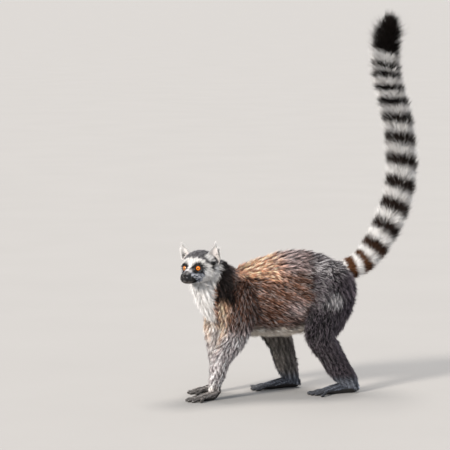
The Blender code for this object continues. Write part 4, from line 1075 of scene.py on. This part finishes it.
def hair(name, roughness, sheen):
    """Dyed dull hair: a soft broken gloss, and a faint pale bloom where it turns from the eye."""
    made, tree, shader = new_material(name)
    colour = node(tree, "ShaderNodeAttribute", attribute_name="coat")
    where = node(tree, "ShaderNodeTexCoord")
    speck = node(tree, "ShaderNodeTexNoise",
                 {"Vector": where.outputs["Object"], "Scale": SPECK_SCALE, "Detail": 2.0})
    level = node(tree, "ShaderNodeMapRange",
                 {"Value": speck.outputs["Fac"], "To Min": 0.80, "To Max": 1.16})
    shade = node(tree, "ShaderNodeVectorMath", {0: colour.outputs["Color"], 1: level.outputs["Result"]},
                 operation="MULTIPLY")
    tree.links.new(shade.outputs["Vector"], shader.inputs["Base Color"])
    shader.inputs["Roughness"].default_value = roughness
    shader.inputs["Specular IOR Level"].default_value = 0.10
    shader.inputs["Sheen Weight"].default_value = sheen
    shader.inputs["Sheen Roughness"].default_value = 0.45
    return made


def coat_piece(name, points, colour, spots, material):
    """One mesh of joined tufts, with their colours and each one's patch on the unwrapped skin."""
    count = len(points)
    faces = (BLADE_FACES[None] + 5 * np.arange(count)[:, None, None]).reshape(-1, 3)
    made = new_object(name, points.reshape(-1, 3), faces)
    paint(made, colour.reshape(-1, 3))
    patch = (spots[:, None] + BLADE_PATCH[None]).reshape(-1, 2)
    layer = made.data.uv_layers.new(name="OFBake")
    layer.data.foreach_set("uv", patch[faces.ravel()].astype(np.float32).ravel())
    made.data.materials.append(material)
    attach(made, "root")
    return made


soft_hair = hair("soft_dull_hair", 0.66, 0.01)
draw = np.random.default_rng(COAT_SEED)


def unwrapped(points, owner):
    """Place on the unwrapped skin: round each course's line, and along it, a strip for each course."""
    spot = np.zeros((len(points), 2))
    used = np.unique(owner)
    for strip, number in enumerate(used):
        pick = owner == number
        line, _, _, way = list(COURSES.values())[number]
        some = points[pick]
        gap = np.sum(some**2, 1)[:, None] - 2 * some @ line.T + np.sum(line**2, 1)[None, :]
        near = gap.argmin(1)
        away = some - line[near]
        along = way[near]
        side = unit(np.array([0.0, 1.0, 0.0]) - along * along[:, 1:2])
        up = np.cross(along, side)
        turn = np.arctan2(np.sum(away * up, 1), np.sum(away * side, 1))
        further = np.sum(away * along, 1) / np.linalg.norm(line[-1] - line[0])
        share = np.clip((near + further * (COURSE_POINTS - 1) + 2) / (COURSE_POINTS + 3), 0, 1)
        spot[pick, 0] = 0.01 + 0.98 * (turn + math.pi) / (2 * math.pi)
        spot[pick, 1] = 0.01 + 0.98 * (strip + 0.02 + 0.96 * share) / len(used)
    return spot


def streaks(points, ways, size, reach, seed):
    """Noise drawn out along the lie: the mean of ripples at five places along it, from -1 to 1."""
    value = sum(ripple(points + ways * share * reach, size, seed) for share in (-1, -0.5, 0, 0.5, 1))
    return np.clip(value / value.std(), -1.7, 1.7) / 1.7


def lay_coat(groups):
    """Draws roots over the skin, thickest where the hair is short, and lays a tuft at each."""
    furred = ~field["bare"][triangles].any(1) & (field["tail"][triangles].max(1) < 0.5)
    a, b, c = (points[triangles[furred, k]] for k in range(3))
    area = 0.5 * np.linalg.norm(np.cross(b - a, c - a), axis=1)
    long = field["depth"][triangles[furred]].mean(1) / TUFT_RISE
    wide = tuft_width(long) * field["width"][triangles[furred]].mean(1)
    number = field["cover"][triangles[furred]].mean(1) * area * 2 / (long * wide)
    total = int(number.sum())
    pick = np.searchsorted(np.cumsum(number) / number.sum(), draw.random(total))
    pick = np.minimum(pick, len(number) - 1)
    u, v = draw.random((2, total))
    flip = u + v > 1
    u[flip], v[flip] = 1 - u[flip], 1 - v[flip]
    share = np.stack([1 - u - v, u, v], 1)
    corner = triangles[furred][pick]

    def at(values):
        """Values of the skin's points, mixed for each root by its place in its triangle."""
        return np.einsum("ij,ij...->i...", share, values[corner])

    roots, ways, outs = at(points), unit(at(field["lie"])), unit(at(out))
    deep, pale = at(field["depth"]), at(field["grizzle"])
    owner = field["course"][corner[:, 0]]
    shown = roots + outs * (SHOWN_OUT * deep)[:, None] + ways * (SHOWN_ALONG * deep)[:, None]
    shown += draw.normal(size=(total, 3)) * np.minimum(0.25 * deep, 0.0018)[:, None]
    tint = coat_colours(shown, outs, *(at(field[name]) for name in ("head", "tail", "leg")),
                        at(field["along"]) + 0.008)
    headed = (owner == HEAD_COURSE) * smoothstep(0.0085, 0.0040, deep)
    # Locks: the roots are sorted into cells that are warped so that no grid shows.
    size = np.array(LOCK_SIZES)[np.digitize(deep, LOCK_DEPTHS)]
    warp = 0.45 * np.stack([ripple(roots, 0.013, k) for k in (21, 22, 23)], 1) * size[:, None]
    cells = np.floor((roots + warp) / size[:, None]).astype(np.int64)
    stray = np.stack([scattered(cells, k) - 0.5 for k in (1, 2, 3)], 1)
    middle = (cells + 0.5 + 0.35 * stray) * size[:, None] - warp
    long_share = smoothstep(0.0045, 0.0080, deep) * smoothstep(0.075, 0.020, roots[:, 0])

    def locks(spots):
        """Noise from -1 to 1 that gathers tufts into streaks along the lie, longer where hair is long."""
        short = streaks(spots, ways, 0.0060, 0.0044, 32)
        short += (streaks(spots, ways, 0.0030, 0.0018, 33) - short) * headed
        drawn = 0.55 * streaks(spots, ways, 0.0095, 0.0070, 31) - 0.25 * short
        return np.clip(short + long_share * drawn, -1.2, 1.2)

    length = (deep / (TUFT_RISE - 0.10 * headed) + 0.0010 * headed) * draw.uniform(0.72, 1.18, total)
    length = length * (0.85 + 0.3 * scattered(cells, 4))
    swing = 0.30 * (scattered(cells, 5) - 0.5) * 2 + 0.16 * draw.normal(size=total)
    swing = swing + 0.22 * ripple(roots, 0.03, 8)
    across = np.cross(ways, outs)
    ways = unit(ways * np.cos(swing)[:, None] + across * np.sin(swing)[:, None])
    across = np.cross(ways, outs)
    lock = locks(roots + ways * (0.7 * length)[:, None])
    lift = 0.09 * draw.normal(size=total) + 0.18 * (scattered(cells, 6) - 0.5) + 0.20 * lock * (1 - headed)
    lift -= 0.19 * headed
    wide = tuft_width(length) * at(field["width"]) * draw.uniform(0.8, 1.2, total)
    blade = blades(roots, outs, ways, length, wide,
                   STEEP + lift, FLAT + lift, draw.uniform(-0.6, 0.6, total))
    pull = np.sum((middle - roots) * across, 1)[:, None] * across
    blade[:, 2:4] += 0.35 * pull[:, None]
    blade[:, 4] += 0.80 * pull
    blade[..., 2] = np.maximum(blade[..., 2], 0.0006)
    # On the head each point of a tuft takes the colour of its own place, so the markings stay sharp.
    light = tint.mean(1)
    tint = np.repeat(tint[:, None], 5, 1)
    face = np.flatnonzero(at(field["head"]) > 0.5)
    for k, columns in ((2, slice(0, 4)), (4, slice(4, 5))):
        tint[face, columns] = head_colours(to_head(blade[face, k]))[:, None]
    # Roots are painted darker, most in dark hair, and tips a little lighter: in part the darker underfur,
    # in part painted shade deep in the coat. A lock is painted darker round its edge than in its middle, as
    # shade between locks.
    root = 0.32 + 0.46 * smoothstep(0.15, 0.65, light)
    shade = np.stack([root, root, 0.5 + 0.45 * root, 0.5 + 0.45 * root, np.full(total, 1.06)], 1)
    edge = np.clip(np.linalg.norm(pull, axis=1) / (0.5 * size), 0, 1.2)
    # Each tuft is painted lighter or darker by the lock noise at its middle and tip, most in dark hair and
    # less on the legs and the short hair of the head: painted light and shade on the lit and shaded sides
    # of the locks. Each tuft and lock also varies in tone at random.
    vivid = (1 - 0.78 * smoothstep(0.35, 0.80, light)) * (1.25 - 0.75 * at(field["leg"]))
    vivid = vivid * (1 - 0.25 * headed)
    lock = np.stack([locks(blade[:, k]) for k in (2, 4)], 1)[:, [0, 0, 0, 0, 1]]
    own = 0.26 * draw.normal(size=total) + 0.70 * (scattered(cells, 7) - 0.5) - 0.20 * edge - 0.22
    bright = np.exp(vivid[:, None] * (own[:, None] + 1.85 * lock))
    tone = tint * shade[..., None] * np.clip(bright, 0.14, 3.2)[..., None]
    frosted = pale * smoothstep(-0.15, 0.70, lock[:, 4] + 0.9 * (scattered(cells, 9) - 0.5))
    frosted = frosted * (draw.random(total) < 0.85)
    tone[:, 4] += (PALETTE["frost"] - tone[:, 4]) * (0.95 * frosted)[:, None]
    tone[:, 2:4] += (PALETTE["frost"] - tone[:, 2:4]) * (0.55 * frosted)[:, None, None]
    # On the dark legs single hairs end in grey.
    grey = smoothstep(0.10, 0.02, light) * at(field["leg"]) * (draw.random(total) < 0.4)
    tone[:, 4] += (PALETTE["leg rear"] * 1.5 - tone[:, 4]) * (0.75 * grey)[:, None]
    tone = np.clip(tone, 0, 0.94)
    spots = np.zeros((total, 2))
    for name, members in groups.items():
        inside = np.flatnonzero(np.isin(owner, [COURSE_NAMES.index(m) for m in members]))
        inside = inside[np.argsort(roots[inside, 0] if name == "trunk" else roots[inside, 1])]
        spots[inside] = unwrapped(roots[inside], owner[inside])
        for part, some in enumerate(np.array_split(inside, -(-len(inside) * 3 // PIECE_TRIANGLES))):
            coat_piece(f"coat_{name}_{part + 1}", blade[some], tone[some], spots[some], soft_hair)


lay_coat({"trunk": ("trunk", "neck", "throat", "tail"), "head": ("head",),
          "arms": ("left arm", "right arm", "left hand", "right hand"),
          "legs": ("left leg", "right leg", "left foot", "right foot")})


# Coat of the tail.
# Long coarse hair stands out all round the tail like a bottle brush and leans towards the tip. A
# ring's hair is rooted nearer the rump than the ring shows, and the black tip ends in a loose tuft.

TAIL_RADII = (0.0215, 0.0280, 0.0330, 0.0342, 0.0345, 0.0345, 0.0340, 0.0350, 0.0370)
TAIL_TUFTS = 56000
TAIL_STEEP, TAIL_FLAT = math.radians(62), math.radians(40)
TAIL_TUFT_WIDTH = 0.00125
# Locks of the tail: how long each is along it, and how many there are to a radian round it.
TAIL_LOCK_LENGTH, TAIL_LOCKS = 0.006, 4.2


def lay_tail():
    """Tufts at random places along and round the tail, and a fan of them past its last joint."""
    line, length = tail_line()
    total = length[-1]
    along = draw.uniform(0.004, total + 0.006, TAIL_TUFTS)
    turn = draw.uniform(0, 2 * math.pi, TAIL_TUFTS)
    at = np.minimum(along, total)
    place = np.stack([np.interp(at, length, line[:, k]) for k in range(3)], 1)
    slope = unit(np.gradient(line, length, axis=0))
    way = unit(np.stack([np.interp(at, length, slope[:, k]) for k in range(3)], 1))
    side = np.tile([0.0, 1.0, 0.0], (TAIL_TUFTS, 1))
    up = np.cross(way, side)
    outward = side * np.cos(turn)[:, None] + up * np.sin(turn)[:, None]
    radius = np.interp(at / total, np.linspace(0, 1, len(TAIL_SKIN)), TAIL_SKIN)
    end = smoothstep(total - 0.016, total + 0.006, along)
    inner = radius * (1 - 0.9 * end * draw.random(TAIL_TUFTS))
    roots = place + outward * inner[:, None]
    reach = np.interp((at + 0.02) / total, np.linspace(0, 1, len(TAIL_RADII)), TAIL_RADII)
    mean = 0.5 * (TAIL_STEEP + TAIL_FLAT)
    upper = smoothstep(0.38, 0.44, along)
    size = (reach - radius + 0.0012) / np.sin(mean + 0.24 * upper)
    cells = np.stack([np.floor(along / TAIL_LOCK_LENGTH), np.floor(turn * TAIL_LOCKS),
                      np.zeros(TAIL_TUFTS)], 1).astype(np.int64)
    size = size * draw.uniform(0.66, 1.16, TAIL_TUFTS) * (0.88 + 0.26 * scattered(cells, 1))
    lift = 0.10 * draw.normal(size=TAIL_TUFTS) + 0.20 * (scattered(cells, 2) - 0.5) + 0.24 * upper
    lift -= 0.95 * end
    near = smoothstep(total - 0.080, total - 0.020, along)
    size = size * (1 - 0.26 * end + near * draw.uniform(-0.50, 0.22, TAIL_TUFTS))
    swing = 0.12 * draw.normal(size=TAIL_TUFTS) + 0.34 * (scattered(cells, 3) - 0.5)
    across = np.cross(way, outward)
    lean = unit(way * np.cos(swing)[:, None] + across * np.sin(swing)[:, None])
    wide = TAIL_TUFT_WIDTH * draw.uniform(0.75, 1.25, TAIL_TUFTS) * (1 - 0.35 * near)
    blade = blades(roots, outward, lean, size, wide, TAIL_STEEP + lift, TAIL_FLAT + lift,
                   draw.uniform(-0.9, 0.9, TAIL_TUFTS))
    middle = (cells[:, 1] + 0.5) / TAIL_LOCKS
    pull = ((middle - turn) * radius)[:, None] * np.cross(way, outward)
    blade[:, 2:4] -= 0.7 * pull[:, None]
    blade[:, 4] -= 1.6 * pull
    # Root, middle and tip of a tuft stand at growing places along the tail, and each takes the ring
    # at its own place; where rings are narrow a tuft has one colour. They hang lower on the hind side.
    forward = np.array([0.10, 0.10, 0.28, 0.28, 0.57])
    forward = size[:, None] * (forward + (0.34 - forward) * upper[:, None])
    slant = np.interp(along, (0.10, 0.25, 0.42), (0.0, 0.005, 0.009)) * outward[:, 0]
    shown = (along + slant + 0.0012 * draw.normal(size=TAIL_TUFTS))[:, None] + forward
    tint = ring_colours(shown.ravel()).reshape(TAIL_TUFTS, 5, 3)
    # The hind side of the upper tail is painted darker: painted shade on the side turned from the lamp.
    hind_side_shade = smoothstep(0.40, 0.50, along) * smoothstep(-0.1, 0.8, outward[:, 0]) * 0.28
    tint = tint + (PALETTE["shank"] - tint) * hind_side_shade[:, None, None] * (tint > 0.1)
    bright = 1 + 0.12 * draw.normal(size=TAIL_TUFTS) + 0.25 * (scattered(cells, 4) - 0.5)
    # Roots are painted darker, most in dark hair, and tips a little lighter: painted shade deep in the
    # brush.
    root = 0.45 + 0.48 * smoothstep(0.15, 0.65, tint.mean(-1))
    shade = root + (1.05 - root) * np.array([0.0, 0.0, 0.75, 0.75, 1.0])
    tone = np.clip(tint * shade[..., None] * np.clip(bright, 0.5, 1.5)[:, None, None], 0, 0.94)
    spots = np.stack([0.01 + 0.98 * turn / (2 * math.pi), 0.01 + 0.98 * along / (total + 0.006)], 1)
    order = np.argsort(along)
    for part, some in enumerate(np.array_split(order, -(-TAIL_TUFTS * 3 // PIECE_TRIANGLES))):
        coat_piece(f"coat_tail_{part + 1}", blade[some], tone[some], spots[some], soft_hair)


lay_tail()


# Hair of the ears.
# White hair covers the back of each ear and fringes its edge, longest on the point and high on the
# hind edge. Inside it lies short and flat on the walls of the cup, painted near black low on its hind
# side as the shade deep in the cup, and each tuft is painted a little darker at the root as shade in the
# hair.

EAR_TUFTS = 6000
EAR_TUFT_WIDTH = 0.00070


def lay_ears():
    """Tufts on both faces of each ear's leaf, longer towards its edge and its point."""
    sheets, tones, spots = [], [], []
    for side in (1, -1):
        cup, lean, facing, across = ear_cup(side)
        rows, columns = cup.shape[:2]
        slope_up, slope_over = np.gradient(cup, axis=0), np.gradient(cup, axis=1)
        inward = unit(np.cross(slope_up, slope_over))
        inward *= np.sign(np.sum(inward * facing, -1, keepdims=True))
        rise = 1 - 1.15 * draw.random(EAR_TUFTS) ** 0.9
        over = draw.uniform(-1, 1, EAR_TUFTS)
        over = np.sign(over) * np.abs(over) ** 0.75
        r = np.clip((rise - EAR_ROOT) / (1 - EAR_ROOT) * (rows - 1), 0, rows - 1.001)
        c = (over + 1) / 2 * (columns - 1.001)
        i, j = r.astype(int), c.astype(int)
        fr, fc = (r - i)[:, None], (c - j)[:, None]

        def at(grid):
            """Values of the leaf's grid, mixed for each root from the four corners round it."""
            low = grid[i, j] * (1 - fc) + grid[i, j + 1] * fc
            high = grid[i + 1, j] * (1 - fc) + grid[i + 1, j + 1] * fc
            return low * (1 - fr) + high * fr

        face = np.where(draw.random(EAR_TUFTS) < 0.5, 1.0, -1.0)
        outs = unit(at(inward)) * face[:, None]
        roots = at(cup) + outs * EAR_WALL * 0.5
        edge = np.abs(over) ** 2
        # Two longer tufts: one on the point, one high on the hind edge.
        point = smoothstep(0.70, 1.0, rise)
        behind = over * side
        hind = np.exp(-((behind - 0.80) / 0.25) ** 2 - ((rise - 0.60) / 0.16) ** 2)
        sideways = unit(at(slope_over)) * (np.sign(over) * edge)[:, None]
        spread = (0.75 - 0.60 * rise) * smoothstep(0.05, 0.40, rise) * (1 - 0.8 * hind)
        spread = spread * np.where(face > 0, 0.3, 1.0)
        lie = lean + spread[:, None] * sideways
        lie = unit(lie - outs * np.sum(lie * outs, 1)[:, None])
        size = 0.0050 + 0.0030 * edge * smoothstep(1.0, 0.4, rise) + 0.0085 * point + 0.0100 * hind
        size = size * draw.uniform(0.6, 1.25, EAR_TUFTS) * np.where(face > 0, 1.1, 0.95)
        steep = np.where(face > 0, 0.21, 0.18) * (1 - 0.6 * point) + 0.08 * draw.normal(size=EAR_TUFTS)
        # Low on the hind side of the cup the inner tufts are painted near black and made wider: painted
        # shade deep in the cup.
        hollow_shade = (face > 0) * smoothstep(-0.25, 0.10, behind) * smoothstep(0.98, 0.84, behind)
        hollow_shade = hollow_shade * smoothstep(0.58, 0.36, rise) * (draw.random(EAR_TUFTS) < 0.88)
        wide = EAR_TUFT_WIDTH * draw.uniform(0.7, 1.3, EAR_TUFTS) * (1 + 1.5 * hollow_shade)
        blade = blades(roots, outs, lie, size, wide, steep,
                       steep - 0.10, draw.uniform(-0.4, 0.4, EAR_TUFTS))
        gather = np.sum((at(cup) - (np.array(EAR_PLACE) * (1, side, 1))) * across, 1)
        blade[:, 4] -= (0.45 * point * gather)[:, None] * across
        tint = mixed(np.tile(PALETTE["white"], (EAR_TUFTS, 1)), "black", 0.9 * hollow_shade)
        tint = mixed(tint, "black", (face < 0) * smoothstep(0.12, 0.02, rise))
        bright = 1 + 0.07 * draw.normal(size=EAR_TUFTS)
        # Roots are painted a little darker than the tips: painted shade deep in the hair.
        shade = np.array([0.94, 0.94, 1.0, 1.0, 1.03])
        tones.append(np.clip(tint[:, None] * shade[None, :, None] * bright[:, None, None], 0, 0.94))
        sheets.append(from_head(blade.reshape(-1, 3)).reshape(-1, 5, 3))
        strip = (0 if side > 0 else 0.5) + np.where(face > 0, 0.0, 0.25)
        spots.append(np.stack([0.02 + 0.96 * rise, 0.01 + strip + 0.115 * (over + 1)], 1))
    coat_piece("coat_ears", np.concatenate(sheets), np.concatenate(tones), np.concatenate(spots),
               hair("fluffy_white_hair", 0.70, 0.35))


lay_ears()


# Eyes.
# Blown glass eyes as a museum sets them: a painted orange iris with fine rays round a small black
# pupil, a dark rim, and clear glass over it that swells a little at the front.

IRIS_ANGLE, PUPIL_ANGLE = 0.54, 0.21
GLASS_SWELL = 0.0007


def eye_ball(name, side):
    """A ball about the gaze: at angle p from it the radius grows by a share of (1 - p / 0.85)**1.5."""
    p = np.concatenate([np.linspace(0.0, 0.95, 44), np.linspace(1.0, math.pi, 20)])
    turn = np.arange(96) * 2 * math.pi / 96
    gaze = np.array([math.cos(EYE_TURN), side * math.sin(EYE_TURN), 0.0])
    over = np.array([-gaze[1], gaze[0], 0.0])
    up = np.cross(gaze, over)
    radius = EYE_RADIUS + GLASS_SWELL * np.clip(1 - p / 0.85, 0, 1) ** 1.5
    ring = np.cos(turn)[None, :, None] * over + np.sin(turn)[None, :, None] * up
    way = np.cos(p)[:, None, None] * gaze + np.sin(p)[:, None, None] * ring
    centre = np.array(EYE_PLACE) * (1, side, 1)
    made = joined_grids(name, [from_head((centre + way * radius[:, None, None])[1:-1])])
    away = to_head(mesh_arrays(made)[0]) - centre
    far = np.linalg.norm(away, axis=1)
    p = np.arccos(np.clip(away @ gaze / far, -1, 1))
    turn = np.arctan2(away @ up, away @ over)
    rays = sum(np.sin(turn * k + k * k) for k in (7, 13, 22, 31)) / 4
    iris = np.tile(linear("#e67812"), (len(p), 1))
    iris = iris + (linear("#f7a02a") - iris) * smoothstep(0.38, 0.20, p + 0.05 * rays)[:, None]
    iris = iris + (linear("#a84a0a") - iris) * smoothstep(0.42, 0.60, p + 0.06 * rays)[:, None]
    iris = iris * (1 + 0.16 * rays * smoothstep(0.22, 0.4, p))[:, None]
    iris = iris * smoothstep(PUPIL_ANGLE - 0.015, PUPIL_ANGLE + 0.015, p)[:, None]
    dark = smoothstep(IRIS_ANGLE - 0.03, IRIS_ANGLE + 0.03, p)[:, None]
    paint(made, np.maximum(iris + (linear("#120d0b") - iris) * dark, 0.0015))
    return made


def eye_glass():
    """Painted glass under a clear glaze, with a hard bright gloss."""
    made, tree, shader = new_material("painted_glass_eye")
    colour = node(tree, "ShaderNodeAttribute", attribute_name="coat")
    tree.links.new(colour.outputs["Color"], shader.inputs["Base Color"])
    shader.inputs["Roughness"].default_value = 0.35
    shader.inputs["Specular IOR Level"].default_value = 0.2
    shader.inputs["Coat Weight"].default_value = 1.0
    shader.inputs["Coat Roughness"].default_value = 0.03
    shader.inputs["Coat IOR"].default_value = 1.38
    return made


glass = eye_glass()
for side, word in ((1, "left"), (-1, "right")):
    eye = eye_ball(f"glass_eye_{word}", side)
    eye.data.materials.append(glass)
    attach(eye, "root")
    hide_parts(f"eye_{word}")


# Nails.
# Flat dark horn nails on the digits, each rooted in the skin and curved over the end of its pad.

NAIL_LENGTH, NAIL_WIDTH = 0.0050, 0.0030


def nail(wrist, heading, inner, digit, knuckle):
    """Egg-shaped rings along a short arc over the digit's end, flat below and narrowing to its tip."""
    middle, way, _ = digit_line(wrist, heading, inner, digit, knuckle, np.linspace(0, 1, 26))
    up = np.array([0.0, 0.0, 1.0])
    share = np.linspace(0, 1, 10)
    reach = (share - 0.62) * NAIL_LENGTH
    line = middle[-2] + way * reach[:, None] + up * (0.0023 - 0.0026 * share**2)[:, None]
    wide = 0.5 * NAIL_WIDTH * np.sqrt(np.clip(1 - (share * 1.02 - 0.1) ** 4, 0.02, 1))
    return round_line(line, wide, 0.0007 * wide / wide.max(), 0.0004 * wide / wide.max(), 10,
                      tuple(np.cross(up, way)))


STREAK_SCALE = 900.0  # streaks about 1 mm apart


def horn():
    """Horn: smooth, dark and slightly streaked along the nail."""
    made, tree, shader = new_material("polished_dark_horn")
    where = node(tree, "ShaderNodeTexCoord")
    streak = node(tree, "ShaderNodeTexNoise",
                  {"Vector": where.outputs["Object"], "Scale": STREAK_SCALE})
    ramp = node(tree, "ShaderNodeValToRGB", {"Fac": streak.outputs["Fac"]})
    ramp.color_ramp.elements[0].color = (*linear("#14110f"), 1)
    ramp.color_ramp.elements[1].color = (*linear("#3a322d"), 1)
    tree.links.new(ramp.outputs["Color"], shader.inputs["Base Color"])
    shader.inputs["Roughness"].default_value = 0.32
    return made


nail_grids = []
for limb, heading, inner, digits, knuckle in (
        (LEFT_ARM, HAND_HEADING, 1, HAND_DIGITS, HAND_KNUCKLE),
        (RIGHT_ARM, HAND_HEADING, -1, HAND_DIGITS, HAND_KNUCKLE),
        (LEFT_LEG, FOOT_HEADING, 1, FOOT_DIGITS, FOOT_KNUCKLE),
        (RIGHT_LEG, FOOT_HEADING, -1, FOOT_DIGITS, FOOT_KNUCKLE)):
    nail_grids += [nail(np.array(limb[-1][:3]), heading, inner, digit, knuckle) for digit in digits]
nails = joined_grids("nails", nail_grids)
nails.data.materials.append(horn())
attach(nails, "root")

# Size: the box of the finished model, as its lowest and highest corner.
low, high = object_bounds()
